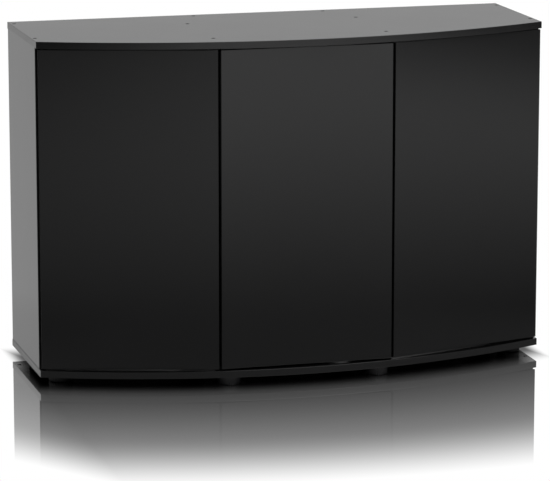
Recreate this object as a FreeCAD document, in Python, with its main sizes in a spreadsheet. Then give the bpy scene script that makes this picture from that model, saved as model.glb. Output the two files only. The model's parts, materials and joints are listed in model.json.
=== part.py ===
import FreeCAD, Part

import os

import Sketcher

# A bow-front cabinet that carries an aquarium: two bowed boards, four uprights, a back board between two
# pairs of back rails, three flat doors on concealed hinges with push latches, one shelf and eight feet.
# +X is to the right, +Y to the back and +Z up. The origin is on the floor, at the middle of the footprint.
DIMENSIONS = {
    "width": (1210, "overall width, left to right"),
    "depth": (460, "overall depth at the middle of the bow"),
    "side_depth": (330, "depth at the two ends"),
    "height": (800, "floor to the top face"),
    "board": (16, "thickness of every board"),
    "band": (1, "thickness of the edge banding"),
    "foot_height": (20, "floor to the underside of the bottom board"),
    "end_overhang": (1, "top and bottom boards past the side panels"),
    "upright_depth": (311, "front-to-back size of every upright"),
    "partition_x": (205.5, "middle of each partition from the centre line"),
    "partition_setback": (108, "back edge of the partitions from the cabinet's back"),
    "back_board_width": (390, "width of the back board"),
    "back_board_setback": (12, "back board from the cabinet's back"),
    "rail_height": (120, "each back rail, up and down"),
    "fixing_inset": (35, "screws from the ends of each upright"),
    "dowel_pitch": (32, "dowel beside each screw"),
    "screw_length": (50, "board screw, whole length"),
    "screw_radius": (2.5, "board screw, shank"),
    "screw_head_radius": (4, "board screw, head"),
    "screw_recess": (0.8, "head below the board's face"),
    "drill_clearance": (1, "blind hole past the end of its screw or plunger"),
    "screw_drive": (2.3, "hexagon socket, centre to corner"),
    "dowel_radius": (4, "wooden dowel"),
    "dowel_in_board": (10, "dowel inside the top or bottom board"),
    "dowel_in_upright": (20, "dowel inside the upright"),
    "slack": (0.05, "play around screws, dowels and pins in their holes"),
    "shelf_top": (356, "floor to the top of the shelf"),
    "shelf_depth": (296, "front-to-back size of the shelf"),
    "shelf_setback": (8, "shelf behind the partitions' front edges"),
    "shelf_side_gap": (1, "shelf to partition, each side"),
    "pin_hole_radius": (2.5, "shelf pin and its hole"),
    "pin_hole_depth": (9, "depth of a shelf pin hole"),
    "pin_hole_pitch": (32, "height from one pin hole to the next"),
    "pin_hole_inset": (37, "pin hole rows from the partition's edges"),
    "shelf_pin_length": (16, "half in the partition, half under the shelf"),
    "door_break": (207, "corner between two doors from the centre line"),
    "door_width": (408, "width of a door"),
    "door_reveal": (3.2, "door edge from the corner, along its face"),
    "door_gap_top": (2.5, "door to the top board"),
    "door_gap_bottom": (4.5, "door to the bottom board"),
    "hinge_inset": (100, "hinge middle from the end of the door"),
    "cup_centre": (22.5, "hinge cup middle from the door's edge"),
    "cup_radius": (17.5, "hinge cup, outside"),
    "cup_depth": (12.5, "hinge cup in the door"),
    "cup_wall": (1, "hinge cup's sheet"),
    "flange_thickness": (1.2, "hinge cup's flange on the door"),
    "flange_length": (62, "flange, up and down"),
    "flange_front": (18, "flange's wide end from the cup's middle"),
    "flange_back": (16, "flange's narrow end from the cup's middle"),
    "flange_waist": (14.5, "half the flange's narrow end, up and down"),
    "flange_corner": (4, "corners cut off the flange's wide end"),
    "cup_screw_pitch": (45, "between a cup's two screws"),
    "cup_screw_offset": (9.5, "cup screws past the cup's middle"),
    "small_screw_radius": (1.75, "hinge screw, shank"),
    "small_head_radius": (3.4, "hinge screw, head"),
    "small_head_height": (1.6, "hinge screw, head"),
    "small_screw_depth": (11, "hinge screw in the wood"),
    "pivot_in": (9.5, "hinge pin from the door's edge"),
    "pivot_deep": (7.4, "hinge pin behind the door's face"),
    "hinge_pin_radius": (1.25, "hinge pin"),
    "hinge_pin_length": (20, "hinge pin"),
    "eye_radius": (2.4, "arm's eye around the pin"),
    "crank": (12, "arm's hook, pin to leg"),
    "link": (2, "sheet of the arm's hook"),
    "link_height": (9, "arm's hook, up and down"),
    "leg_end": (29, "arm's leg behind the door's face"),
    "arm_height": (15, "arm's body, up and down"),
    "arm_length": (60, "arm's body, front to back"),
    "arm_stand_off": (16.5, "arm's outer face from the upright"),
    "arm_nose_length": (3, "slope at the arm's front, front to back"),
    "arm_nose_drop": (2, "slope at the arm's front, towards the upright"),
    "arm_tail_length": (10, "slope at the arm's back, front to back"),
    "arm_tail_drop": (6, "slope at the arm's back, towards the upright"),
    "plate_thickness": (2.5, "mounting plate"),
    "plate_wing": (50, "mounting plate, up and down"),
    "plate_wing_width": (12, "mounting plate's wings, front to back"),
    "plate_base": (46, "mounting plate, front to back"),
    "plate_inset": (37, "mounting plate's screws from the upright's front edge"),
    "plate_screw_pitch": (32, "between a plate's two screws"),
    "latch_z": (410, "floor to the latches' middle"),
    "latch_size": (14, "latch housing, width and height"),
    "latch_length": (58, "latch housing, front to back"),
    "latch_setback": (3, "latch housing behind the partition's front edge"),
    "plunger_radius": (4, "latch plunger"),
    "plunger_inside": (25, "plunger inside its housing"),
    "plunger_travel": (4, "plunger's stroke"),
    "plunger_tip": (1.5, "bevel on the plunger's tip"),
    "plunger_play": (0.08, "play around the plunger"),
    "latch_gap": (1.2, "plunger tip to strike plate"),
    "strike_radius": (9, "strike plate on the door"),
    "strike_thickness": (1, "strike plate on the door"),
    "foot_radius": (26, "levelling foot"),
    "foot_clearance": (0.4, "foot to the bottom board when wound in"),
    "foot_bevel": (1.5, "bevel around the foot"),
    "stem_radius": (5, "foot's threaded stem"),
    "stem_length": (14, "stem above the bottom board's underside"),
    "stem_drive": (2.9, "hexagon socket in the stem, centre to corner"),
    "stem_drive_depth": (6, "hexagon socket in the stem"),
    "socket_radius": (8, "stem's socket in the bottom board"),
    "outer_foot_x": (550, "outer feet from the centre line"),
    "inner_foot_x": (178, "inner feet from the centre line"),
    "outer_foot_depth": (285, "outer front feet from the cabinet's back"),
    "inner_foot_depth": (415, "inner front feet from the cabinet's back"),
    "back_foot_depth": (60, "back feet from the cabinet's back"),
}

doc = FreeCAD.newDocument("aquarium_stand")
sheet = doc.addObject("Spreadsheet::Sheet", "dims")
for row, (alias, (value, meaning)) in enumerate(DIMENSIONS.items(), start=1):
    sheet.set(f"A{row}", meaning)
    sheet.set(f"B{row}", str(value))
    sheet.setAlias(f"B{row}", alias)
doc.recompute()

# Expressions that several pieces share.
BACK = "(dims.depth / 2)"
BOW = "(dims.depth - dims.side_depth)"
BOW_RADIUS = f"(((dims.width / 2) ^ 2 + {BOW} ^ 2) / (2 * {BOW}))"
BOW_CENTRE_Y = f"({BOW_RADIUS} - dims.depth / 2)"
FLOOR_BOARD_TOP = "(dims.foot_height + dims.board)"
TOP_BOARD_BOTTOM = "(dims.height - dims.board)"
PARTITION_BACK = f"({BACK} - dims.partition_setback)"
PARTITION_FRONT = f"({PARTITION_BACK} - dims.upright_depth)"
SIDE_FRONT = f"({BACK} - dims.upright_depth)"
SIDE_X = "(dims.width / 2 - dims.end_overhang - dims.board / 2)"
BACK_BOARD_Y = f"({BACK} - dims.back_board_setback - dims.board / 2)"
RAIL_START = "(dims.back_board_width / 2)"
RAIL_END = f"({SIDE_X} - dims.board / 2)"
DOOR_BOTTOM = f"({FLOOR_BOARD_TOP} + dims.door_gap_bottom)"
DOOR_TOP = f"({TOP_BOARD_BOTTOM} - dims.door_gap_top)"
HINGE_LEVELS = (f"({DOOR_BOTTOM} + dims.hinge_inset)", f"({DOOR_TOP} - dims.hinge_inset)")
LEVEL_NAMES = ("lower", "upper")
SIGNS = {"left": -1, "right": 1}

parts = []


def number(expression):
    """The value of an expression on the sheet."""
    return float(FreeCAD.Units.Quantity(sheet.evalExpression(expression)).Value)


def arc_y(x):
    """The bow's front edge at x."""
    return f"({BOW_CENTRE_Y} - sqrt({BOW_RADIUS} ^ 2 - ({x}) ^ 2))"


# ---- sketches and features ----


def new_body(label):
    body = doc.addObject("PartDesign::Body", label)
    body.AllowCompound = True
    parts.append(body)
    return body


def sketch_in(body, name, plane="XY", level="0"):
    """An empty sketch on one of the body's own planes, moved to a level along that plane's axis."""
    sketch = body.newObject("Sketcher::SketchObject", f"{body.Label}_{name}")
    support = next(item for item in body.Origin.OriginFeatures if item.Role == f"{plane}_Plane")
    sketch.AttachmentSupport = [(support, "")]
    sketch.MapMode = "FlatFace"
    along = f"-({level})" if plane == "XZ" else level
    sketch.setExpression("AttachmentOffset.Base.z", along)
    return sketch


def bind(sketch, kind, geometry, expression):
    """Adds a constraint whose value is an expression on the sheet."""
    index = sketch.addConstraint(Sketcher.Constraint(kind, *geometry, number(expression)))
    sketch.setExpression(f"Constraints[{index}]", expression)


def fix_point(sketch, geometry, vertex, x, y):
    for kind, expression in (("DistanceX", x), ("DistanceY", y)):
        bind(sketch, kind, (-1, 1, geometry, vertex), expression)


def add_outline(sketch, corners):
    """A closed outline of straight edges through corners whose x and y are expressions."""
    first = sketch.GeometryCount
    points = [FreeCAD.Vector(number(x), number(y), 0) for x, y in corners]
    for start, end in zip(points, points[1:] + points[:1]):
        sketch.addGeometry(Part.LineSegment(start, end))
    for index, (x, y) in enumerate(corners):
        before = first + (index - 1) % len(corners)
        sketch.addConstraint(Sketcher.Constraint("Coincident", before, 2, first + index, 1))
        fix_point(sketch, first + index, 1, x, y)


def add_rectangle(sketch, x_low, y_low, x_high, y_high):
    add_outline(sketch, [(x_low, y_low), (x_high, y_low), (x_high, y_high), (x_low, y_high)])


def add_circle(sketch, x, y, radius):
    centre = FreeCAD.Vector(number(x), number(y), 0)
    index = sketch.addGeometry(Part.Circle(centre, FreeCAD.Vector(0, 0, 1), number(radius)))
    bind(sketch, "Radius", (index,), radius)
    fix_point(sketch, index, 3, x, y)


def add_hexagon(sketch, x, y, corner):
    ways = ((1, 0), (0.5, 0.75), (-0.5, 0.75), (-1, 0), (-0.5, -0.75), (0.5, -0.75))
    corners = []
    for across, up in ways:
        rise = f"({'-' if up < 0 else ''}sqrt({abs(up)}))"
        corners.append((f"({x}) + {across} * {corner}", f"({y}) + {rise} * {corner}"))
    add_outline(sketch, corners)


def add_bow_outline(sketch, inset):
    """The top and bottom boards' outline, drawn in by inset: straight back and ends, bowed front."""
    half = f"(dims.width / 2 - {inset})"
    back = f"({BACK} - {inset})"
    radius = f"({BOW_RADIUS} - {inset})"
    front_y = f"({BOW_CENTRE_Y} - sqrt({radius} ^ 2 - {half} ^ 2))"
    corners = [(number(f"{sign} * {half}"), number(y)) for sign, y in
               ((-1, front_y), (-1, back), (1, back), (1, front_y))]
    points = [FreeCAD.Vector(x, y, 0) for x, y in corners]
    middle = FreeCAD.Vector(0, number(f"{BOW_CENTRE_Y} - {radius}"), 0)
    first = sketch.GeometryCount
    for start, end in zip(points, points[1:]):
        sketch.addGeometry(Part.LineSegment(start, end))
    arc = sketch.addGeometry(Part.Arc(points[0], middle, points[3]))
    arc_ends = {sketch.getPoint(arc, vertex).x < 0: vertex for vertex in (1, 2)}
    joins = ((first, 2, first + 1, 1), (first + 1, 2, first + 2, 1),
             (arc, arc_ends[True], first, 1), (arc, arc_ends[False], first + 2, 2))
    for join in joins:
        sketch.addConstraint(Sketcher.Constraint("Coincident", *join))
    fix_point(sketch, first + 1, 1, f"-{half}", back)
    fix_point(sketch, first + 1, 2, half, back)
    bind(sketch, "DistanceX", (-1, 1, first, 1), f"-{half}")
    bind(sketch, "DistanceX", (-1, 1, first + 2, 2), half)
    fix_point(sketch, arc, 3, "0", BOW_CENTRE_Y)
    bind(sketch, "Radius", (arc,), radius)


def extrude(kind, sketch, length, backwards, taper):
    body = sketch.getParentGeoFeatureGroup()
    feature = body.newObject(f"PartDesign::{kind}", f"{sketch.Label}_{kind.lower()}")
    feature.Profile = sketch
    feature.setExpression("Length", length)
    feature.Reversed = backwards
    feature.TaperAngle = taper
    doc.recompute()
    return feature


def pad(sketch, length, backwards=False, taper=0):
    """Adds material along the sketch's normal (an XZ sketch's normal points to -Y)."""
    return extrude("Pad", sketch, length, backwards, taper)


def pocket(sketch, depth, backwards=False):
    """Cuts against the sketch's normal, or along it if backwards, and proves that it cut something."""
    body = sketch.getParentGeoFeatureGroup()
    before = body.Shape.Volume
    feature = extrude("Pocket", sketch, depth, backwards, 0)
    if body.Shape.Volume > before - 0.1:
        raise RuntimeError(f"{feature.Label} cuts nothing")
    return feature


def place(body, x, y, z="0", angle="0"):
    for axis, expression in (("x", x), ("y", y), ("z", z)):
        body.setExpression(f"Placement.Base.{axis}", expression)
    body.setExpression("Placement.Rotation.Angle", angle)


# ---- where the boards are fixed to one another ----


def end_points(inset):
    """Two fixings along the middle line of each upright and of the back board, inset from its ends."""
    points = []
    for sign in SIGNS.values():
        for x, back in ((f"{sign} * {SIDE_X}", BACK), (f"{sign} * dims.partition_x", PARTITION_BACK)):
            points.append((x, f"{back} - {inset}"))
            points.append((x, f"{back} - dims.upright_depth + {inset}"))
        points.append((f"{sign} * (dims.back_board_width / 2 - {inset})", BACK_BOARD_Y))
    return points


def rail_points(inset):
    """Two fixings along the back rails on each side, inset from their ends."""
    return [(f"{sign} * ({x})", BACK_BOARD_Y) for sign in SIGNS.values()
            for x in (f"{RAIL_START} + {inset}", f"{RAIL_END} - {inset}")]


SCREW_INSET = "dims.fixing_inset"
DOWEL_INSET = "(dims.fixing_inset + dims.dowel_pitch)"
TOP_SCREW_POINTS = end_points(SCREW_INSET)
BOTTOM_SCREW_POINTS = end_points(SCREW_INSET) + rail_points(SCREW_INSET)
DOWEL_POINTS = end_points(DOWEL_INSET) + rail_points(DOWEL_INSET)
FOOT_POINTS = {}
for side, sign in SIGNS.items():
    for place_name, foot_x, foot_depth in (
            ("front_outer", "dims.outer_foot_x", "dims.outer_foot_depth"),
            ("front_inner", "dims.inner_foot_x", "dims.inner_foot_depth"),
            ("back_outer", "dims.outer_foot_x", "dims.back_foot_depth"),
            ("back_inner", "dims.inner_foot_x", "dims.back_foot_depth")):
        FOOT_POINTS[f"foot_{place_name}_{side}"] = (f"{sign} * {foot_x}", f"{BACK} - {foot_depth}")


# ---- boards ----


def bowed_board(name, bottom, outer_face, inner_face, screw_points, sign):
    """A bowed board with its banding. sign is 1 where the outer face looks up, -1 where it looks down."""
    banding = new_body(f"{name}_edge_band")
    ring = sketch_in(banding, "ring", level=bottom)
    add_bow_outline(ring, "0")
    add_bow_outline(ring, "dims.band")
    pad(ring, "dims.board")

    board = new_body(f"{name}_panel")
    outline = sketch_in(board, "outline", level=bottom)
    add_bow_outline(outline, "dims.band")
    pad(outline, "dims.board")
    dowel_holes = sketch_in(board, "dowel_holes", level=inner_face)
    for x, y in DOWEL_POINTS:
        add_circle(dowel_holes, x, y, "dims.dowel_radius + dims.slack")
    pocket(dowel_holes, "dims.dowel_in_board + dims.slack", backwards=sign > 0)
    if sign < 0:
        foot_holes = sketch_in(board, "foot_holes", level=outer_face)
        for x, y in FOOT_POINTS.values():
            add_circle(foot_holes, x, y, "dims.socket_radius + dims.slack")
        pocket(foot_holes, "dims.board", backwards=True)
    screw_places = sketch_in(board, "screw_places", level=outer_face)
    for x, y in screw_points:
        add_circle(screw_places, x, y, "dims.screw_radius")
    doc.recompute()
    hole = board.newObject("PartDesign::Hole", f"{name}_screw_holes")
    hole.Profile = screw_places
    doc.recompute()
    hole.DepthType = "ThroughAll"
    hole.setExpression("Diameter", "2 * (dims.screw_radius + dims.slack)")
    hole.HoleCutType = "Countersink"
    hole.HoleCutCustomValues = True
    hole.setExpression("HoleCutDiameter",
                       "2 * (dims.screw_head_radius + dims.screw_recess + dims.slack)")
    hole.HoleCutCountersinkAngle = 90
    hole.Reversed = sign < 0
    doc.recompute()
    return board


def drill_end(board, purpose, end, spots_at):
    """Screw or dowel holes in a standing board's end. spots_at gives their places for an inset."""
    inset, radius, deep = {
        "screw": (SCREW_INSET, "dims.screw_radius",
                  "dims.screw_length + dims.screw_recess - dims.board + dims.drill_clearance"),
        "dowel": (DOWEL_INSET, "dims.dowel_radius", "dims.dowel_in_upright + dims.slack")}[purpose]
    level, from_below = {"top": (TOP_BOARD_BOTTOM, False), "bottom": (FLOOR_BOARD_TOP, True)}[end]
    holes = sketch_in(board, f"{end}_{purpose}_holes", level=level)
    for x, y in spots_at(inset):
        add_circle(holes, x, y, f"{radius} + dims.slack")
    pocket(holes, deep, backwards=from_below)


def upright(name, x, back):
    """A side panel or a partition between the bowed boards."""
    board = new_body(name)
    outline = sketch_in(board, "outline", level=FLOOR_BOARD_TOP)
    front = f"{back} - dims.upright_depth"
    add_rectangle(outline, f"{x} - dims.board / 2", f"{front} + dims.band", f"{x} + dims.board / 2", back)
    pad(outline, f"{TOP_BOARD_BOTTOM} - {FLOOR_BOARD_TOP}")
    for purpose in ("screw", "dowel"):
        for end in ("top", "bottom"):
            drill_end(board, purpose, end,
                      lambda inset: [(x, f"{back} - {inset}"), (x, f"{front} + {inset}")])
    return board


def back_board():
    board = new_body("back_board")
    outline = sketch_in(board, "outline", level=FLOOR_BOARD_TOP)
    add_rectangle(outline, f"-{RAIL_START}", f"{BACK_BOARD_Y} - dims.board / 2",
                  RAIL_START, f"{BACK_BOARD_Y} + dims.board / 2")
    pad(outline, f"{TOP_BOARD_BOTTOM} - {FLOOR_BOARD_TOP}")
    for purpose in ("screw", "dowel"):
        for end in ("top", "bottom"):
            drill_end(board, purpose, end, lambda inset: [
                (f"{sign} * ({RAIL_START} - {inset})", BACK_BOARD_Y) for sign in SIGNS.values()])


def back_rails():
    """A low and a high rail each side of the back board, with the opening for hoses between them."""
    rails = new_body("back_rails")
    for name, level in (("lower", FLOOR_BOARD_TOP), ("upper", f"({TOP_BOARD_BOTTOM} - dims.rail_height)")):
        outline = sketch_in(rails, name, level=level)
        for start, finish in ((RAIL_START, RAIL_END), (f"-{RAIL_END}", f"-{RAIL_START}")):
            add_rectangle(outline, start, f"{BACK_BOARD_Y} - dims.board / 2",
                          finish, f"{BACK_BOARD_Y} + dims.board / 2")
        pad(outline, "dims.rail_height")
    for purpose, end in (("screw", "bottom"), ("dowel", "bottom"), ("dowel", "top")):
        drill_end(rails, purpose, end, rail_points)


# ---- doors: each has its own frame, with its left corner on the bow at the origin, its outer face
# ---- along +X and +Y pointing into the cabinet


class Door:
    def __init__(self, name, left_x, right_x, hinged, upright_face, face_sign, upright_front, latch_x):
        self.name = name
        self.x, self.y = left_x, arc_y(left_x)
        self.angle = f"atan2({arc_y(right_x)} - {self.y}; {right_x} - ({left_x}))"
        self.hinged = hinged
        self.upright_face = upright_face
        self.face_sign = face_sign
        self.upright_front = upright_front
        self.latch_x = latch_x

    def from_edge(self, distance):
        """Door-frame x of a point this far from the hinged edge."""
        if self.hinged == "left":
            return f"dims.door_reveal + {distance}"
        return f"dims.door_reveal + dims.door_width - ({distance})"

    def own(self, x, y):
        """Door-frame x and y of a point given in the cabinet's frame."""
        across, inward = f"(({x}) - ({self.x}))", f"(({y}) - {self.y})"
        cosine, sine = f"cos({self.angle})", f"sin({self.angle})"
        return (f"{across} * {cosine} + {inward} * {sine}", f"{inward} * {cosine} - {across} * {sine}")

    def latch_point(self, depth):
        """Where the latch's axis meets the plane this far behind the door's face: the door-frame x, and
        the cabinet's y."""
        along = f"((({self.latch_x}) - ({self.x}) + ({depth}) * sin({self.angle})) / cos({self.angle}))"
        return along, f"({self.y} + {along} * sin({self.angle}) + ({depth}) * cos({self.angle}))"

    def place(self, body, z="0"):
        place(body, self.x, self.y, z, self.angle)


LATCH_OFF = "dims.board / 2 + dims.latch_size / 2"
DOORS = (
    Door("left_door", "-dims.width / 2", "-dims.door_break", "left",
         f"(-{SIDE_X} + dims.board / 2)", 1, SIDE_FRONT, f"-dims.partition_x - ({LATCH_OFF})"),
    Door("middle_door", "-dims.door_break", "dims.door_break", "right",
         "(dims.partition_x - dims.board / 2)", -1, PARTITION_FRONT, f"-dims.partition_x + ({LATCH_OFF})"),
    Door("right_door", "dims.door_break", "dims.width / 2", "right",
         f"({SIDE_X} - dims.board / 2)", -1, SIDE_FRONT, f"dims.partition_x + ({LATCH_OFF})"),
)


def door_panel(door):
    left, right = "dims.door_reveal", "dims.door_reveal + dims.door_width"
    banding = new_body(f"{door.name}_edge_band")
    ring = sketch_in(banding, "ring", "XZ")
    add_rectangle(ring, left, DOOR_BOTTOM, right, DOOR_TOP)
    add_rectangle(ring, f"{left} + dims.band", f"{DOOR_BOTTOM} + dims.band",
                  f"{right} - dims.band", f"{DOOR_TOP} - dims.band")
    pad(ring, "dims.board", backwards=True)
    door.place(banding)

    panel = new_body(door.name)
    outline = sketch_in(panel, "outline", "XZ")
    add_rectangle(outline, f"{left} + dims.band", f"{DOOR_BOTTOM} + dims.band",
                  f"{right} - dims.band", f"{DOOR_TOP} - dims.band")
    pad(outline, "dims.board", backwards=True)
    cup_bores = sketch_in(panel, "cup_bores", "XZ", "dims.board")
    for level in HINGE_LEVELS:
        add_circle(cup_bores, door.from_edge("dims.cup_centre"), level, "dims.cup_radius + dims.slack")
    pocket(cup_bores, "dims.cup_depth + dims.slack", backwards=True)
    pilots = sketch_in(panel, "cup_screw_pilots", "XZ", "dims.board")
    for level in HINGE_LEVELS:
        for turn in "-+":
            add_circle(pilots, door.from_edge("(dims.cup_centre + dims.cup_screw_offset)"),
                       f"{level} {turn} dims.cup_screw_pitch / 2", "dims.small_screw_radius + dims.slack")
    pocket(pilots, "dims.small_screw_depth + dims.drill_clearance", backwards=True)
    door.place(panel)


# ---- hinges ----


def hinge_cup(door, level, level_name):
    """A pressed cup with a winged flange. Its frame is the door's, at the hinge's height."""
    cup = new_body(f"{door.name}_{level_name}_hinge_cup")
    centre = door.from_edge("dims.cup_centre")
    flange = sketch_in(cup, "flange", "XZ", "dims.board + dims.flange_thickness")
    half, waist = "(dims.flange_length / 2)", "dims.flange_waist"
    wide, narrow = "dims.cup_centre + dims.flange_front", "dims.cup_centre - dims.flange_back"
    shape = [("dims.cup_centre", f"-{half}"), (f"{wide} - dims.flange_corner", f"-{half}"),
             (wide, f"-{half} + dims.flange_corner"), (wide, f"{half} - dims.flange_corner"),
             (f"{wide} - dims.flange_corner", half), ("dims.cup_centre", half),
             (narrow, waist), (narrow, f"-{waist}")]
    add_outline(flange, [(door.from_edge(f"({u})"), z) for u, z in shape])
    pad(flange, "dims.flange_thickness")
    bowl = sketch_in(cup, "bowl", "XZ", "dims.board")
    add_circle(bowl, centre, "0", "dims.cup_radius")
    pad(bowl, "dims.cup_depth")
    hollow = sketch_in(cup, "hollow", "XZ", "dims.board + dims.flange_thickness")
    add_circle(hollow, centre, "0", "dims.cup_radius - dims.cup_wall")
    pocket(hollow, "dims.cup_depth - dims.cup_wall + dims.flange_thickness", backwards=True)
    holes = sketch_in(cup, "screw_holes", "XZ", "dims.board + dims.flange_thickness")
    for turn in "-+":
        add_circle(holes, door.from_edge("(dims.cup_centre + dims.cup_screw_offset)"),
                   f"{turn}dims.cup_screw_pitch / 2", "dims.small_screw_radius + dims.slack")
    pocket(holes, "dims.flange_thickness", backwards=True)
    pin_holes = sketch_in(cup, "pin_holes", "XY", "dims.hinge_pin_length / 2")
    add_circle(pin_holes, door.from_edge("dims.pivot_in"), "dims.pivot_deep", "dims.hinge_pin_radius")
    pocket(pin_holes, "dims.hinge_pin_length")
    door.place(cup, level)


def hinge_arm(door, level, level_name):
    """The arm stands on its mounting plate and hooks into the cup, with an eye around the pin."""
    arm = new_body(f"{door.name}_{level_name}_hinge_arm")
    hook = sketch_in(arm, "hook", level="-dims.link_height / 2")
    near, far = "dims.pivot_deep - dims.link / 2", "dims.pivot_deep + dims.link / 2"
    inside, outside = "dims.crank - dims.link / 2", "dims.crank + dims.link / 2"
    shape = [("dims.pivot_in", near), (f"dims.pivot_in + {outside}", near),
             (f"dims.pivot_in + {outside}", "dims.leg_end"), (f"dims.pivot_in + {inside}", "dims.leg_end"),
             (f"dims.pivot_in + {inside}", far), ("dims.pivot_in", far)]
    add_outline(hook, [(door.from_edge(f"({u})"), w) for u, w in shape])
    pad(hook, "dims.link_height")
    body = sketch_in(arm, "body", level="-dims.arm_height / 2")
    face, sign, front = door.upright_face, door.face_sign, door.upright_front
    shape = [("dims.plate_thickness", "0"), ("(dims.arm_stand_off - dims.arm_nose_drop)", "0"),
             ("dims.arm_stand_off", "dims.arm_nose_length"),
             ("dims.arm_stand_off", "dims.arm_length - dims.arm_tail_length"),
             ("(dims.arm_stand_off - dims.arm_tail_drop)", "dims.arm_length"),
             ("dims.plate_thickness", "dims.arm_length")]
    add_outline(body, [door.own(f"{face} + {sign} * {off}", f"{front} + {back}") for off, back in shape])
    pad(body, "dims.arm_height")
    eye = sketch_in(arm, "eye", level="-dims.link_height / 2")
    add_circle(eye, door.from_edge("dims.pivot_in"), "dims.pivot_deep", "dims.eye_radius")
    pad(eye, "dims.link_height")
    bore = sketch_in(arm, "bore", level="dims.link_height / 2")
    add_circle(bore, door.from_edge("dims.pivot_in"), "dims.pivot_deep",
               "dims.hinge_pin_radius + dims.slack")
    pocket(bore, "dims.link_height")
    door.place(arm, level)


def hinge_pins(door):
    pins = new_body(f"{door.name}_hinge_pins")
    for level, level_name in zip(HINGE_LEVELS, LEVEL_NAMES):
        section = sketch_in(pins, level_name, level=f"{level} - dims.hinge_pin_length / 2")
        add_circle(section, door.from_edge("dims.pivot_in"), "dims.pivot_deep", "dims.hinge_pin_radius")
        pad(section, "dims.hinge_pin_length")
    door.place(pins)


def cup_screws(door):
    screws = new_body(f"{door.name}_cup_screws")
    flange_top = "dims.board + dims.flange_thickness"
    pieces = (("heads", "dims.small_head_radius", "dims.small_head_height", False),
              ("shanks", "dims.small_screw_radius", "dims.small_screw_depth + dims.flange_thickness", True))
    for name, radius, length, into_door in pieces:
        section = sketch_in(screws, name, "XZ", flange_top)
        for level in HINGE_LEVELS:
            for turn in "-+":
                add_circle(section, door.from_edge("(dims.cup_centre + dims.cup_screw_offset)"),
                           f"{level} {turn} dims.cup_screw_pitch / 2", radius)
        pad(section, length, backwards=not into_door)
    door.place(screws)


def mounting_plates():
    """One winged plate under each arm, flat on its upright."""
    plates = new_body("hinge_mounting_plates")
    for door in DOORS:
        shape = sketch_in(plates, door.name, "YZ", door.upright_face)
        wing_front = f"{door.upright_front} + dims.plate_inset - dims.plate_wing_width / 2"
        wing_back = f"{door.upright_front} + dims.plate_inset + dims.plate_wing_width / 2"
        base_front = f"{door.upright_front} + dims.plate_inset - dims.plate_base / 2"
        base_back = f"{door.upright_front} + dims.plate_inset + dims.plate_base / 2"
        for level in HINGE_LEVELS:
            low, high = f"{level} - dims.arm_height / 2", f"{level} + dims.arm_height / 2"
            bottom, top = f"{level} - dims.plate_wing / 2", f"{level} + dims.plate_wing / 2"
            add_outline(shape, [(base_front, low), (wing_front, low), (wing_front, bottom),
                                (wing_back, bottom), (wing_back, low), (base_back, low),
                                (base_back, high), (wing_back, high), (wing_back, top),
                                (wing_front, top), (wing_front, high), (base_front, high)])
            for turn in "-+":
                add_circle(shape, f"{door.upright_front} + dims.plate_inset",
                           f"{level} {turn} dims.plate_screw_pitch / 2",
                           "dims.small_screw_radius + dims.slack")
        pad(shape, "dims.plate_thickness", backwards=door.face_sign < 0)


def plate_screws():
    screws = new_body("hinge_plate_screws")
    for door in DOORS:
        head_seat = f"{door.upright_face} + {door.face_sign} * dims.plate_thickness"
        pieces = (("heads", "dims.small_head_radius", "dims.small_head_height", False),
                  ("shanks", "dims.small_screw_radius",
                   "dims.small_screw_depth + dims.plate_thickness", True))
        for name, radius, length, into_board in pieces:
            section = sketch_in(screws, f"{door.name}_{name}", "YZ", head_seat)
            for level in HINGE_LEVELS:
                for turn in "-+":
                    add_circle(section, f"{door.upright_front} + dims.plate_inset",
                               f"{level} {turn} dims.plate_screw_pitch / 2", radius)
            pad(section, length, backwards=into_board == (door.face_sign > 0))


def drill_for_plates(board, door):
    pilots = sketch_in(board, "hinge_pilots", "YZ", door.upright_face)
    for level in HINGE_LEVELS:
        for turn in "-+":
            add_circle(pilots, f"{door.upright_front} + dims.plate_inset",
                       f"{level} {turn} dims.plate_screw_pitch / 2", "dims.small_screw_radius + dims.slack")
    pocket(pilots, "dims.small_screw_depth + dims.drill_clearance", backwards=door.face_sign < 0)


# ---- latches ----


def push_latch(door):
    """A housing on the partition, a sprung plunger in it, and a strike plate on the door."""
    housing = new_body(f"{door.name}_latch_housing")
    front = f"{PARTITION_FRONT} + dims.latch_setback"
    block = sketch_in(housing, "block", "XZ", front)
    half = "dims.latch_size / 2"
    add_rectangle(block, f"{door.latch_x} - {half}", f"dims.latch_z - {half}",
                  f"{door.latch_x} + {half}", f"dims.latch_z + {half}")
    pad(block, "dims.latch_length", backwards=True)
    bore = sketch_in(housing, "bore", "XZ", front)
    add_circle(bore, door.latch_x, "dims.latch_z", "dims.plunger_radius + dims.plunger_play")
    pocket(bore, "dims.plunger_inside + dims.plunger_travel + dims.drill_clearance")

    strike = new_body(f"{door.name}_strike_plate")
    disc = sketch_in(strike, "disc", "XZ", "dims.board")
    add_circle(disc, door.latch_point("dims.board")[0], "dims.latch_z", "dims.strike_radius")
    pad(disc, "dims.strike_thickness", backwards=True)
    door.place(strike)

    plunger = new_body(f"{door.name}_latch_plunger")
    tip_y = f"{door.latch_point('dims.board + dims.strike_thickness')[1]} + dims.latch_gap"
    rod = sketch_in(plunger, "rod", "XZ", f"{front} + dims.plunger_inside")
    add_circle(rod, door.latch_x, "dims.latch_z", "dims.plunger_radius")
    pad(rod, f"{front} + dims.plunger_inside - ({tip_y}) - dims.plunger_tip")
    tip = sketch_in(plunger, "tip", "XZ", f"{tip_y} + dims.plunger_tip")
    add_circle(tip, door.latch_x, "dims.latch_z", "dims.plunger_radius")
    pad(tip, "dims.plunger_tip", taper=-45)


# ---- screws, dowels, shelf and feet ----


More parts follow.
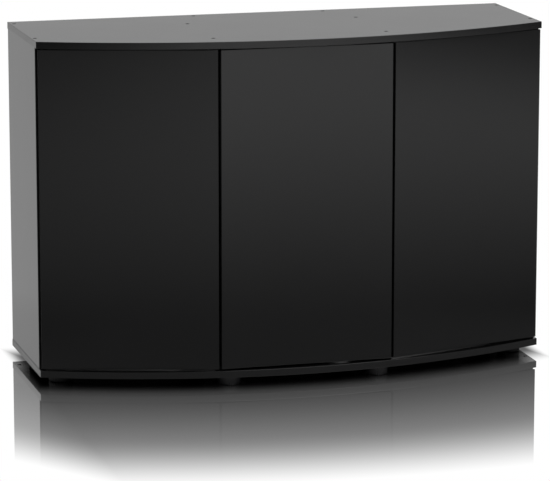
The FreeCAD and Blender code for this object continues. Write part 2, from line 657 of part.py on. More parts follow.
def board_screws(name, face, screw_points, sign):
    """Board screws, heads just under the face. sign is 1 for the top board, -1 for the bottom one."""
    screws = new_body(name)
    head_top = f"{face} - {sign} * dims.screw_recess"
    heads = sketch_in(screws, "heads", level=head_top)
    shanks = sketch_in(screws, "shanks", level=head_top)
    sockets = sketch_in(screws, "sockets", level=head_top)
    for x, y in screw_points:
        add_circle(heads, x, y, "dims.screw_head_radius")
        add_circle(shanks, x, y, "dims.screw_radius")
        add_hexagon(sockets, x, y, "dims.screw_drive")
    pad(heads, "dims.screw_head_radius - dims.screw_radius", backwards=sign > 0, taper=-45)
    pad(shanks, "dims.screw_length", backwards=sign > 0)
    pocket(sockets, "dims.screw_radius", backwards=sign < 0)


def wooden_dowels():
    dowels = new_body("dowels")
    length = "dims.dowel_in_board + dims.dowel_in_upright"
    for name, level in (("top", f"{TOP_BOARD_BOTTOM} - dims.dowel_in_upright"),
                        ("bottom", f"{FLOOR_BOARD_TOP} - dims.dowel_in_board")):
        section = sketch_in(dowels, name, level=level)
        for x, y in DOWEL_POINTS:
            add_circle(section, x, y, "dims.dowel_radius")
        pad(section, length)


SHELF_BOTTOM = "(dims.shelf_top - dims.board)"
PIN_ROWS = (f"{PARTITION_FRONT} + dims.pin_hole_inset", f"{PARTITION_BACK} - dims.pin_hole_inset")
PIN_LEVEL = f"({SHELF_BOTTOM} - dims.pin_hole_radius)"


def drill_for_shelf(board, sign):
    """Two rows of five pin holes in a partition's inner face. The shelf's pins are in the middle ones."""
    holes = sketch_in(board, "shelf_pin_holes", "YZ", f"{sign} * (dims.partition_x - dims.board / 2)")
    for step in range(-2, 3):
        for row in PIN_ROWS:
            add_circle(holes, row, f"{PIN_LEVEL} + {step} * dims.pin_hole_pitch",
                       "dims.pin_hole_radius + dims.slack")
    pocket(holes, "dims.pin_hole_depth", backwards=sign > 0)


def shelf_and_pins():
    shelf = new_body("shelf")
    half = "(dims.partition_x - dims.board / 2 - dims.shelf_side_gap)"
    outline = sketch_in(shelf, "outline", level=SHELF_BOTTOM)
    front = f"{PARTITION_FRONT} + dims.shelf_setback"
    add_rectangle(outline, f"-{half}", front, half, f"{front} + dims.shelf_depth")
    pad(outline, "dims.board")

    pins = new_body("shelf_pins")
    for side, sign in SIGNS.items():
        middle = f"{sign} * (dims.partition_x - dims.board / 2)"
        section = sketch_in(pins, side, "YZ", f"{middle} - dims.shelf_pin_length / 2")
        for row in PIN_ROWS:
            add_circle(section, row, PIN_LEVEL, "dims.pin_hole_radius")
        pad(section, "dims.shelf_pin_length")


def foot(name, x, y):
    """A round foot with a threaded stem, turned from above through its socket."""
    body = new_body(name)
    profile = sketch_in(body, "base")
    add_circle(profile, "0", "0", "dims.foot_radius")
    base = pad(profile, "dims.foot_height - dims.foot_clearance")
    bevel = body.newObject("PartDesign::Chamfer", f"{name}_bevel")
    rims = [f"Edge{i}" for i, edge in enumerate(base.Shape.Edges, 1) if edge.isClosed()]
    bevel.Base = (base, rims)
    bevel.setExpression("Size", "dims.foot_bevel")
    stem = sketch_in(body, "stem", level="dims.foot_height - dims.foot_clearance")
    add_circle(stem, "0", "0", "dims.stem_radius")
    pad(stem, "dims.foot_clearance + dims.stem_length")
    drive = sketch_in(body, "drive", level="dims.foot_height + dims.stem_length")
    add_hexagon(drive, "0", "0", "dims.stem_drive")
    pocket(drive, "dims.stem_drive_depth")
    place(body, x, y)


def foot_sockets():
    sockets = new_body("foot_sockets")
    rings = sketch_in(sockets, "rings", level="dims.foot_height")
    for x, y in FOOT_POINTS.values():
        add_circle(rings, x, y, "dims.socket_radius")
        add_circle(rings, x, y, "dims.stem_radius + dims.slack")
    pad(rings, "dims.board")


def upright_bands():
    """The banding on the front edge of each upright."""
    bands = new_body("upright_edge_bands")
    strips = sketch_in(bands, "strips", level=FLOOR_BOARD_TOP)
    for sign in SIGNS.values():
        for x, front in ((f"{sign} * {SIDE_X}", SIDE_FRONT), (f"{sign} * dims.partition_x", PARTITION_FRONT)):
            add_rectangle(strips, f"{x} - dims.board / 2", front, f"{x} + dims.board / 2",
                          f"{front} + dims.band")
    pad(strips, f"{TOP_BOARD_BOTTOM} - {FLOOR_BOARD_TOP}")


bowed_board("top", TOP_BOARD_BOTTOM, "dims.height", TOP_BOARD_BOTTOM, TOP_SCREW_POINTS, 1)
bowed_board("bottom", "dims.foot_height", "dims.foot_height", FLOOR_BOARD_TOP, BOTTOM_SCREW_POINTS, -1)
uprights = {}
for side, sign in SIGNS.items():
    uprights[f"{side}_side"] = upright(f"{side}_side_panel", f"{sign} * {SIDE_X}", BACK)
    uprights[f"{side}_partition"] = upright(f"{side}_partition", f"{sign} * dims.partition_x", PARTITION_BACK)
    drill_for_shelf(uprights[f"{side}_partition"], sign)
back_board()
back_rails()
upright_bands()
for hinge_upright, hung_door in zip(("left_side", "right_partition", "right_side"), DOORS):
    drill_for_plates(uprights[hinge_upright], hung_door)
    door_panel(hung_door)
    for hinge_level, hinge_name in zip(HINGE_LEVELS, LEVEL_NAMES):
        hinge_cup(hung_door, hinge_level, hinge_name)
        hinge_arm(hung_door, hinge_level, hinge_name)
    hinge_pins(hung_door)
    cup_screws(hung_door)
    push_latch(hung_door)
mounting_plates()
plate_screws()
board_screws("top_screws", "dims.height", TOP_SCREW_POINTS, 1)
board_screws("bottom_screws", "dims.foot_height", BOTTOM_SCREW_POINTS, -1)
wooden_dowels()
shelf_and_pins()
foot_sockets()
for foot_name, (foot_x, foot_y) in FOOT_POINTS.items():
    foot(foot_name, foot_x, foot_y)

doc.recompute()
for item in doc.Objects:
    if "Invalid" in item.State or "Error" in item.State:
        raise RuntimeError(f"{item.Label} failed: {item.State}")
for part in parts:
    if part.Shape.isNull() or not part.Shape.isValid():
        raise RuntimeError(f"{part.Label} has no valid shape")

os.makedirs("parts", exist_ok=True)
for part in parts:
    part.Shape.exportStep(f"parts/{part.Label}.step")
print(f"{len(parts)} parts, {sum(len(part.Shape.Solids) for part in parts)} solids")
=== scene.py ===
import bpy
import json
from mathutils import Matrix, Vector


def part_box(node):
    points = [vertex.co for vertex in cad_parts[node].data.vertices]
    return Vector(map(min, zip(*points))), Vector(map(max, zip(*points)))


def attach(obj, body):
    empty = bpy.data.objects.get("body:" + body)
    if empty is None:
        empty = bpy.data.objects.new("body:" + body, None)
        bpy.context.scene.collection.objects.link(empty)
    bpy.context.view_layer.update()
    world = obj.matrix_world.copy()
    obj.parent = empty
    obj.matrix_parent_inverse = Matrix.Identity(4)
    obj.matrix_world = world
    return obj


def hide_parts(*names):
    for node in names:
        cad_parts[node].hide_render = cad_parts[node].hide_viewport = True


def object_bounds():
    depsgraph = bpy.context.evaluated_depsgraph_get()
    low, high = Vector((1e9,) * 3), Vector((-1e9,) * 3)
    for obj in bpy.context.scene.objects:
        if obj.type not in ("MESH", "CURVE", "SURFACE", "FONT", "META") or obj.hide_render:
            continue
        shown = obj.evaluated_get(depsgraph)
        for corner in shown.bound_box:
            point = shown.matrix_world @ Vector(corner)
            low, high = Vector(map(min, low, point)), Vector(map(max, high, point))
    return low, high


bl_info = {
    "name": "Bow-front aquarium cabinet",
    "version": (1, 0, 0),
    "blender": (4, 5, 0),
    "location": "View3D > Sidebar > Cabinet",
    "description": "Builds the boards, doors, hinges, latches, feet and stage of a bow-front cabinet",
    "category": "Object",
}

import json
import math

import bmesh
import bpy
from bpy.props import FloatProperty, FloatVectorProperty, IntProperty, PointerProperty
from mathutils import Matrix, Vector

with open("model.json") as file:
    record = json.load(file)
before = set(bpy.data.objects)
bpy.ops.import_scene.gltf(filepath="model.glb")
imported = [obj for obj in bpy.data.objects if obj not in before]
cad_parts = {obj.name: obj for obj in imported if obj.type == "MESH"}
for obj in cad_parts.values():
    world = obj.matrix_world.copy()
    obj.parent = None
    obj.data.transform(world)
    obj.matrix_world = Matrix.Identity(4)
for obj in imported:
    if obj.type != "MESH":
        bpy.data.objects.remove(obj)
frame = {"nodes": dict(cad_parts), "record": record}
CAD_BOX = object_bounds()

# Which upright carries each door's hinges, and which way the hinge stands off it along X.
HINGE_SIDES = {
    "left_door": ("left_side_panel", 1),
    "middle_door": ("right_partition", -1),
    "right_door": ("right_side_panel", -1),
}
LEVELS = ("lower", "upper")
FEET = [f"foot_{place}_{side}" for side in ("left", "right")
        for place in ("front_outer", "front_inner", "back_outer", "back_inner")]
ROUND_STEPS = 48
SMALL_ROUND_STEPS = 24
ARRIS_STEPS = 3
CORNER_STEPS = 4
QUARTER_TURN = [math.pi / 2 * step / ARRIS_STEPS for step in range(ARRIS_STEPS + 1)]
GENTLE = math.radians(32)
RIGHT, BACK, UP = Vector((1, 0, 0)), Vector((0, 1, 0)), Vector((0, 0, 1))
BESIDE_HINGE = 0.08      # metres from a hinge within which a plate's screw belongs to it
WHITE = (1, 1, 1, 1)
TINY = 1e-6


def slot_colour(name):
    """The record's own colour for a material slot."""
    found = next(m for m in frame["record"]["materials"] if m["slot"] == name)
    return tuple(found["base_color"])


# ---- settings ----


def number(name, description, default, **limits):
    return FloatProperty(name=name, description=description, default=default, **limits)


def length(name, description, millimetres):
    return number(name, description, millimetres / 1000, min=0, unit="LENGTH", precision=5)


def share(name, description, default):
    return number(name, description, default, min=0, max=1, subtype="FACTOR")


def angle(name, description, degrees):
    return number(name, description, math.radians(degrees), subtype="ANGLE")


def place(name, description, default):
    return FloatVectorProperty(name=name, description=description, default=default, size=3,
                               subtype="TRANSLATION")


def colour(name, description, default):
    return FloatVectorProperty(name=name, description=description, default=default, size=3,
                               min=0, max=1, subtype="COLOR")


class CabinetBoardSettings(bpy.types.PropertyGroup):
    arris: length("Arris", "Rounding of the edge banding", 0.8)
    trim: length("Trim", "Fine bevel where laminate and banding meet", 0.15)
    recess: length("Screw recess", "Depth of a screw's head below the face", 0.8)
    clearance_hole: share("Clearance hole", "Screw's hole as a share of its head", 0.64)
    pin_pitch: length("Pin hole pitch", "Height from one shelf pin hole to the next", 32)
    pin_depth: length("Pin hole depth", "Depth of a shelf pin hole", 9)
    pin_holes: IntProperty(name="Pin holes", description="Shelf pin holes in a row", default=5, min=1)
    collar: number("Collar", "Shelf pin's collar as a multiple of the pin", 1.4)
    laminate: colour("Laminate", "Black of the laminate", (0.005, 0.005, 0.0052))
    laminate_roughness: share("Laminate roughness", "Satin finish of the boards", 0.17)
    edging: colour("Edging", "Black of the edge banding", (0.005, 0.005, 0.0052))
    edging_roughness: share("Edging roughness", "Satin finish of the banding", 0.24)
    chip: colour("Chipboard", "Raw board inside a hole", (0.42, 0.27, 0.14))


class CabinetHardwareSettings(bpy.types.PropertyGroup):
    nickel: colour("Nickel", "Plated steel", slot_colour("nickel_plated_steel"))
    nickel_roughness: share("Nickel roughness", "Finish of the plated steel", 0.27)
    coated: colour("Coated steel", "Black board screws", slot_colour("black_screw_finish"))
    beech: colour("Beech", "Wooden dowels", slot_colour("beech"))
    sheet: length("Sheet", "Thickness of pressed steel", 1)
    board_thread: length("Board screw thread", "Pitch of a board screw's thread", 3)
    small_thread: length("Hinge screw thread", "Pitch of a hinge screw's thread", 1.6)
    drive: length("Hexagon socket", "Board screw's socket, centre to corner", 2.3)
    cup_radius: length("Hinge cup", "Outer radius of a hinge's cup", 17.5)
    plate_thickness: length("Plate", "Thickness of a mounting plate", 2.5)
    wing: length("Wing", "Width of a mounting plate's wings", 12)
    arm_stand_off: length("Arm", "Height of an arm's top above its upright", 16.5)
    crank: length("Crank", "From the hinge pin to the arm's leg", 12)
    leg_end: length("Leg end", "Depth of the arm's leg behind the door's face", 29)
    link_height: length("Link", "Height of the arm's hooked link", 9)
    eye_radius: length("Eye", "Radius of the link's eye", 2.4)
    small_shank: length("Hinge screw", "Radius of a hinge screw's shank", 1.75)
    flute_count: IntProperty(name="Flutes", description="Flutes round a dowel", default=16, min=3)


class CabinetPlasticSettings(bpy.types.PropertyGroup):
    foot: colour("Feet", "Moulded black plastic", slot_colour("foot_plastic"))
    foot_roughness: share("Feet's roughness", "Finish of the feet", 0.25)
    housing: colour("Latch housings", "Moulded plastic", slot_colour("latch_plastic"))
    plunger: colour("Plungers", "Moulded plastic", slot_colour("plunger_plastic"))
    roughness: share("Roughness", "Finish of moulded plastic", 0.42)
    lobes: IntProperty(name="Grip lobes", description="Lobes round a foot's rim", default=36, min=8)
    lobe_depth: length("Lobe depth", "Hollows between the lobes of a foot", 0.7)
    stem_radius: length("Stem", "Radius of a foot's threaded stem", 5)
    foot_drive: length("Foot drive", "Hexagon socket in a foot's stem, centre to corner", 2.9)
    foot_clearance: length("Foot clearance", "Foot to the bottom board when wound in", 0.4)
    ribs: IntProperty(name="Ribs", description="Ribs along a latch housing", default=3, min=0)
    stem_thread: length("Foot thread", "Pitch of a foot's thread", 1.5)


class CabinetStageSettings(bpy.types.PropertyGroup):
    distance: number("Camera distance", "From the middle of the cabinet", 8.059, unit="LENGTH")
    azimuth: angle("Camera azimuth", "Camera's place round the cabinet", -15.70)
    elevation: angle("Camera elevation", "Camera's place above the middle", 10.994)
    heading: angle("Heading", "How far the camera looks to the right", 15.58)
    tilt: angle("Tilt", "How far the camera looks down", 11.77)
    lens: number("Lens", "Focal length in millimetres", 224.2)
    floor_radius: length("Floor", "Radius of the round floor", 60000)
    veil: share("Veil", "Lightness of the floor's reflection close to the cabinet", 0.205)
    veil_growth: number("Veil's growth", "Rise of that lightness in a metre", 0.587, min=0)
    fade_from: length("Fade from", "Distance at which the reflection starts to fade out", 440)
    fade_to: length("Fade to", "Distance at which the reflection has faded out", 860)
    fade: share("Fade", "Lightness that this last fade adds", 0.32)
    softness: number("Softness", "Power that turns the lightness into a blend", 2.2)
    contact_in: length("Contact shadow inside", "Reach of the soft dark edge under the cabinet", 45)
    contact_out: length("Contact shadow outside", "Reach of the soft dark edge round the cabinet", 70)
    contact_side: number("Contact at the sides", "How much narrower the dark edge is there", 3)
    # painted shadow: tone of the floor's mirror under the cabinet, darkening the reflection there
    under: share("Under the cabinet", "Lightness of the reflection under the cabinet", 0.12)
    room: share("Room in front", "Light from the room in front of the cabinet", 0.25)
    backdrop: share("Backdrop", "Light from behind the cabinet, as its faces mirror it", 0.6)
    side_level: share("Floor beside", "Light from the floor beside and behind the cabinet", 0.68)
    front_dim: share("Floor near the front", "Light from the floor close to the doors", 0.02)
    front_lit: number("Floor in front", "Light from the floor well in front", 1.15, min=0)
    front_reach: length("Front reach", "Distance over which the floor in front grows lighter", 3800)
    lit_from: number("Lit from", "Left end of the lit floor", -3.6, unit="LENGTH")
    lit_to: number("Lit to", "Right end of the lit floor", 4.65, unit="LENGTH")
    lit_rise: length("Lit rise", "Width of the lit floor's soft left end", 3600)
    lit_fall: length("Lit fall", "Width of the lit floor's soft right end", 1300)
    lamp_place: place("Lamp", "Place of the soft light above", (0.6, -0.9, 1.7))
    lamp_aim: place("Lamp's aim", "Where the soft light points", (0.1, -0.2, 0.6))
    lamp_size: length("Lamp's size", "Width of the soft light", 1600)
    lamp_power: number("Lamp's power", "In watts", 16, min=0)


SETTINGS = {
    "cabinet_boards": CabinetBoardSettings,
    "cabinet_hardware": CabinetHardwareSettings,
    "cabinet_plastics": CabinetPlasticSettings,
    "cabinet_stage": CabinetStageSettings,
}


# ---- reading the frame ----


def node_points(node, space):
    """A CAD node's points, in a space of their own."""
    inverse = space.inverted()
    return [inverse @ vertex.co for vertex in frame["nodes"][node].data.vertices]


def extent(points):
    low = Vector([min(p[axis] for p in points) for axis in range(3)])
    high = Vector([max(p[axis] for p in points) for axis in range(3)])
    return low, high


def solids(node, space=Matrix.Identity(4)):
    """The box of each separate solid of a CAD node, from left to right."""
    mesh = bmesh.new()
    mesh.from_mesh(frame["nodes"][node].data)
    bmesh.ops.remove_doubles(mesh, verts=mesh.verts, dist=TINY)
    inverse = space.inverted()
    waiting = set(mesh.verts)
    boxes = []
    while waiting:
        seed = waiting.pop()
        island, edge_of = [seed], [seed]
        while edge_of:
            for edge in edge_of.pop().link_edges:
                for vertex in edge.verts:
                    if vertex in waiting:
                        waiting.remove(vertex)
                        island.append(vertex)
                        edge_of.append(vertex)
        boxes.append(extent([inverse @ vertex.co for vertex in island]))
    mesh.free()
    return sorted(boxes, key=lambda box: tuple(round(value, 5) for value in box[0]))


def middle(box):
    return (box[0] + box[1]) / 2


def half_across(box):
    return (box[1].x - box[0].x) / 2


def frame_space(origin, along, inward, up=UP):
    """A space with its origin and axes given in the cabinet's own frame."""
    space = Matrix((along, inward, up)).transposed().to_4x4()
    space.translation = origin
    return space


def door_space(door):
    """A door's own space: its outer lower left corner, along its face, into the cabinet, and up."""
    plan = {(round(p.x, 6), round(p.y, 6)) for p in node_points(f"{door}_edge_band", Matrix.Identity(4))}
    count = len(plan)
    mean_x = sum(x for x, y in plan) / count
    mean_y = sum(y for x, y in plan) / count
    spread_x = sum((x - mean_x) ** 2 for x, y in plan)
    spread_y = sum((y - mean_y) ** 2 for x, y in plan)
    lean = sum((x - mean_x) * (y - mean_y) for x, y in plan)
    angle = math.atan2(2 * lean, spread_x - spread_y) / 2
    along = Vector((math.cos(angle), math.sin(angle), 0))
    inward = Vector((-math.sin(angle), math.cos(angle), 0))
    lined_up = frame_space(Vector(), along, inward)
    low, high = extent(node_points(f"{door}_edge_band", lined_up))
    return frame_space(lined_up @ low, along, inward), high - low


def hinge_space(door, level):
    """A hinge's space on its door: from the hinged edge along the face, into the cabinet, and up."""
    space, size = door_space(door)
    sign = HINGE_SIDES[door][1]
    origin = space @ (RIGHT * (0 if sign > 0 else size.x))
    origin.z = middle(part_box(f"{door}_{level}_hinge_cup")).z
    return frame_space(origin, space.to_3x3() @ (RIGHT * sign), space.to_3x3() @ BACK)


def upright_space(door, level):
    """A hinge's space on its upright: off the upright's face, back from its front edge, and up."""
    upright, sign = HINGE_SIDES[door]
    low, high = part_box(upright)
    origin = Vector((high.x if sign > 0 else low.x, low.y - band_thickness(),
                     middle(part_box(f"{door}_{level}_hinge_arm")).z))
    return frame_space(origin, RIGHT * sign, BACK)


def band_thickness():
    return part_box("top_edge_band")[1].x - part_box("top_panel")[1].x


def bow():
    """Half the width, the back, and the bow's radius and centre, from the top board's banding."""
    low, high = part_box("top_edge_band")
    ends = [p.y for p in node_points("top_edge_band", Matrix.Identity(4)) if p.x > high.x - TINY]
    rise = min(ends) - low.y
    radius = (high.x ** 2 + rise ** 2) / (2 * rise)
    return high.x, high.y, radius, low.y + radius


# ---- shapes ----


def polar(reach, turn, height):
    return Vector((reach * math.cos(turn), reach * math.sin(turn), height))


def circle(radius, height, steps):
    return [polar(radius, 2 * math.pi * step / steps, height) for step in range(steps)]


def rings(profile, steps=SMALL_ROUND_STEPS):
    """A circle for each (radius, height) point of a turned shape's profile."""
    return [circle(radius, height, steps) for radius, height in profile]


def placed(loops, space):
    return [[space @ point for point in loop] for loop in loops]


def hexagon(corner, height):
    """A hexagon with as many points as a small circle, so that the two can be skinned together."""
    points = []
    for step in range(SMALL_ROUND_STEPS):
        turn = 2 * math.pi * step / SMALL_ROUND_STEPS
        across = turn % (math.pi / 3) - math.pi / 6
        reach = corner * math.cos(math.pi / 6) / math.cos(across)
        points.append(polar(reach, turn, height))
    return points


def rounded(corners, radius):
    """An outline with its corners rounded by arcs."""
    points = []
    for index, corner in enumerate(corners):
        here = Vector(corner)
        before = Vector(corners[index - 1]) - here
        after = (Vector(corners[(index + 1) % len(corners)]) - here)
        half_angle = before.angle(after) / 2
        room = min(before.length, after.length) / 2
        reach = min(radius / math.tan(half_angle), room)
        bend = reach * math.tan(half_angle)
        to_centre = (before.normalized() + after.normalized()).normalized()
        centre = here + to_centre * (bend / math.sin(half_angle))
        start = here + before.normalized() * reach - centre
        finish = here + after.normalized() * reach - centre
        for step in range(CORNER_STEPS + 1):
            arm = start.slerp(finish, step / CORNER_STEPS, start)
            points.append(centre + arm.normalized() * bend)
    return points


def skin(mesh, loops, closed=False, material=0):
    """Skins loops of equally many points. closed joins the last loop to the first; if it is not set,
    both end loops are filled."""
    layers = [[mesh.verts.new(point) for point in loop] for loop in loops]
    following = layers[1:] + (layers[:1] if closed else [])
    made = []
    for lower, upper in zip(layers, following):
        for index in range(len(lower)):
            after = (index + 1) % len(lower)
            made.append(mesh.faces.new((lower[index], lower[after], upper[after], upper[index])))
    if not closed:
        made.append(mesh.faces.new(list(reversed(layers[0]))))
        made.append(mesh.faces.new(layers[-1]))
    for face in made:
        face.material_index = material


def merge(mesh, part, space):
    """Adds a shape that was made in a mesh of its own, moved into a space."""
    part.transform(space)
    data = bpy.data.meshes.new("shape")
    part.to_mesh(data)
    part.free()
    mesh.from_mesh(data)
    bpy.data.meshes.remove(data)


def add_loops(mesh, loops, space=Matrix.Identity(4), closed=False):
    part = bmesh.new()
    skin(part, loops, closed)
    merge(mesh, part, space)


def slab(mesh, low, high, arris, space=Matrix.Identity(4), steps=2):
    """A board between two corners, with its arrises rounded."""
    part = bmesh.new()
    corners = [(low.x, low.y), (high.x, low.y), (high.x, high.y), (low.x, high.y)]
    skin(part, [[Vector((x, y, z)) for x, y in corners] for z in (low.z, high.z)])
    bmesh.ops.bevel(part, geom=list(part.edges), offset=arris, segments=steps, profile=0.5,
                    affect="EDGES", material=-1)
    merge(mesh, part, space)


def plate(mesh, outline, low, high, arris, space):
    """A flat piece with an outline in its space's XY, between two heights, with eased arrises."""
    full = [Vector(point).to_3d() for point in outline]
    centre = sum(full, Vector()) / len(full)
    drawn_in = [point + (centre - point).normalized() * arris for point in full]
    layers = ((drawn_in, low), (full, low + arris), (full, high - arris), (drawn_in, high))
    add_loops(mesh, [[point + UP * height for point in layer] for layer, height in layers], space)


def threaded(low, high, core, crest, pitch, turns_per_pitch=4):
    """Loops of a thread that winds up a stem, fading out at both ends."""
    steps = SMALL_ROUND_STEPS
    count = max(4, round((high - low) / pitch * turns_per_pitch))
    loops = []
    for level in range(count + 1):
        height = low + (high - low) * level / count
        from_end = min(level, count - level) / turns_per_pitch
        depth = (crest - core) * min(1, from_end)
        loop = []
        for step in range(steps):
            wave = (height / pitch - step / steps) % 1
            reach = core + depth * (1 - abs(2 * wave - 1))
            loop.append(polar(reach, 2 * math.pi * step / steps, height))
        loops.append(loop)
    return loops


def edged_profile(thickness, low, high, arris, trim):
    """(inset, height) points round a banding's section, from the board's face over both arrises."""
    lower = [(arris - arris * math.sin(a), low + arris - arris * math.cos(a)) for a in QUARTER_TURN]
    upper = [(inset, high + low - height) for inset, height in reversed(lower)]
    return [(thickness, low + trim), (thickness - trim, low), *lower, *upper,
            (thickness - trim, high), (thickness, high - trim)]


def bow_outline(inset, height):
    """The bowed boards' outline drawn in by inset, from the front left corner round the bow."""
    half, back, radius, centre_y = bow()
    reach = math.asin((half - inset) / (radius - inset))
    turns = [reach * (2 * step / ROUND_STEPS - 1) for step in range(ROUND_STEPS + 1)]
    front = [Vector(((radius - inset) * math.sin(a), centre_y - (radius - inset) * math.cos(a), height))
             for a in turns]
    return front + [Vector((half - inset, back - inset, height)),
                    Vector((inset - half, back - inset, height))]


def bore(centre, profile, axis="Z", sign=1):
    """Loops of a cutter along an axis from a centre; profile holds (radius, depth) points."""
    turn = {"X": Matrix.Rotation(math.pi / 2, 4, "Y"), "Y": Matrix.Rotation(-math.pi / 2, 4, "X"),
            "Z": Matrix.Identity(4)}[axis]
    loops = rings([(radius, sign * depth) for radius, depth in profile])
    return placed(loops, Matrix.Translation(centre) @ turn)


def carve(piece, cutters, material):
    """Cuts the solids skinned from each set of loops out of a piece, and paints the cut faces."""
    mesh = bmesh.new()
    for loops in cutters:
        skin(mesh, loops, material=material)
    bmesh.ops.recalc_face_normals(mesh, faces=mesh.faces)
    data = bpy.data.meshes.new("cutter")
    mesh.to_mesh(data)
    mesh.free()
    for finish in piece.data.materials:
        data.materials.append(finish)
    cutter = bpy.data.objects.new("cutter", data)
    bpy.context.scene.collection.objects.link(cutter)
    cut = piece.modifiers.new("cut", "BOOLEAN")
    cut.operation = "DIFFERENCE"
    cut.solver = "EXACT"
    cut.object = cutter
    graph = bpy.context.evaluated_depsgraph_get()
    carved = bpy.data.meshes.new_from_object(piece.evaluated_get(graph))
    before = len(piece.data.polygons)
    piece.modifiers.remove(cut)
    if len(carved.polygons) == before:
        raise RuntimeError(f"nothing was cut from {piece.name}")
    old = piece.data
    piece.data = carved
    bpy.data.meshes.remove(old)
    bpy.data.objects.remove(cutter)


def smooth(piece, soft_up_to):
    """Soft shading across gentle edges, weighted so that flat faces stay flat."""
    piece.data.polygons.foreach_set("use_smooth", [True] * len(piece.data.polygons))
    piece.data.set_sharp_from_angle(angle=soft_up_to)
    weighted = piece.modifiers.new("flat faces stay flat", "WEIGHTED_NORMAL")
    weighted.keep_sharp = True


def add_piece(name, mesh, body, slot, replaced=(), cuts=(), cut_slot=None, soft_up_to=GENTLE):
    """Turns a bmesh into a piece that rides on a body in place of CAD nodes, and cuts its holes."""
    bmesh.ops.recalc_face_normals(mesh, faces=mesh.faces)
    data = bpy.data.meshes.new(name)
    mesh.to_mesh(data)
    mesh.free()
    piece = bpy.data.objects.new(name, data)
    bpy.context.scene.collection.objects.link(piece)
    for wanted in filter(None, (slot, cut_slot)):
        data.materials.append(finish_for(wanted))
    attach(piece, body)
    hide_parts(*replaced)
    if cuts:
        carve(piece, cuts, 1 if cut_slot else 0)
    smooth(piece, soft_up_to)


# ---- finishes ----


class Wire:
    """A socket of a node tree. Arithmetic on it adds Math nodes, and node() adds any other node."""

    def __init__(self, tree, socket=None):
        self.tree = tree
        self.socket = socket

    def node(self, kind, settings=None, sockets=None, output=0):
        made = self.tree.nodes.new(kind)
        for name, value in (settings or {}).items():
            setattr(made, name, value)
        for name, value in (sockets or {}).items():
            if isinstance(value, Wire):
                self.tree.links.new(value.socket, made.inputs[name])
            else:
                made.inputs[name].default_value = value
        return Wire(self.tree, made.outputs[output])

    def maths(self, operation, first, second=0.0):
        return self.node("ShaderNodeMath", {"operation": operation}, {0: first, 1: second})

    def __add__(self, other):
        return self.maths("ADD", self, other)

    __radd__ = __add__

    def __sub__(self, other):
        return self.maths("SUBTRACT", self, other)

    def __rsub__(self, other):
        return self.maths("SUBTRACT", other, self)

    def __mul__(self, other):
        return self.maths("MULTIPLY", self, other)

    __rmul__ = __mul__

    def __truediv__(self, other):
        return self.maths("DIVIDE", self, other)

    def __pow__(self, other):
        return self.maths("POWER", self, other)

    def at_most(self, other):
        return self.maths("MINIMUM", self, other)

    def at_least(self, other):
        return self.maths("MAXIMUM", self, other)


def new_finish(name):
    """A material with its shader and a wire to build on."""
    finish = bpy.data.materials.new(name)
    finish.use_nodes = True
    return finish, finish.node_tree.nodes["Principled BSDF"], Wire(finish.node_tree)


def feed(wire, shader, socket):
    wire.tree.links.new(wire.socket, shader.inputs[socket])


def place_of(wire, stretch=(1, 1, 1)):
    """The piece's own coordinates in metres, stretched."""
    spot = wire.node("ShaderNodeTexCoord", output="Object")
    return wire.node("ShaderNodeMapping", sockets={"Vector": spot, "Scale": stretch})


def noise(wire, spot, per_metre, detail=3.0):
    return wire.node("ShaderNodeTexNoise", {"noise_dimensions": "3D"},
                     {"Vector": spot, "Scale": per_metre, "Detail": detail})


def cells(wire, spot, per_metre):
    """Distance from the middle of scattered cells."""
    return wire.node("ShaderNodeTexVoronoi", {"feature": "F1"}, {"Vector": spot, "Scale": per_metre},
                     output="Distance")


def tinted(wire, amount, dark, light):
    """A colour between two, by an amount from 0 to 1."""
    return wire.node("ShaderNodeMix", {"data_type": "RGBA"},
                     {0: amount, 6: (*dark, 1), 7: (*light, 1)}, output=2)


def scaled(tint, factor):
    return tuple(min(1, channel * factor) for channel in tint)


def painted(wire, shader, amount, tint, dark, light):
    """A base colour between a darker and a lighter shade of a tint."""
    feed(tinted(wire, amount, scaled(tint, dark), scaled(tint, light)), shader, "Base Color")


def bumped(wire, shader, height, depth, strength=1.0):
    """Relief of a depth in metres from a height of 0 to 1."""
    relief = wire.node("ShaderNodeBump",
                       sockets={"Strength": strength, "Distance": depth, "Height": height})
    feed(relief, shader, "Normal")


def laminate(name, tint, roughness):
    """Satin melamine with a fine pearl grain, faint smudges and a few specks of dust."""
    finish, shader, wire = new_finish(name)
    spot = place_of(wire)
    pearl = cells(wire, spot, 1400)
    grain = noise(wire, spot, 2600, detail=2)
    smudges = noise(wire, spot, 9, detail=4)
    speck = (cells(wire, spot, 300) * -14 + 1).at_least(0)
    shade = smudges * 0.5 + grain * 0.35 + speck * 0.15
    painted(wire, shader, shade, tint, 0.8, 1.25)
    feed(smudges * 0.03 + grain * 0.05 + (roughness - 0.04), shader, "Roughness")
    bumped(wire, shader, pearl * 0.7 + grain * 0.3, 0.00001, 0.4)
    shader.inputs["IOR"].default_value = 1.45
    return finish


def edging(name, tint, roughness):
    """Extruded plastic banding: smoother than the board, with faint draw lines round the edge."""
    finish, shader, wire = new_finish(name)
    lines = noise(wire, place_of(wire, (6, 6, 2200)), 1, detail=2)
    smudges = noise(wire, place_of(wire), 14, detail=3)
    painted(wire, shader, smudges * 0.6 + lines * 0.4, tint, 0.85, 1.2)
    feed(smudges * 0.08 + lines * 0.05 + (roughness - 0.06), shader, "Roughness")
    bumped(wire, shader, lines, 0.00001, 0.5)
    shader.inputs["IOR"].default_value = 1.47
    return finish


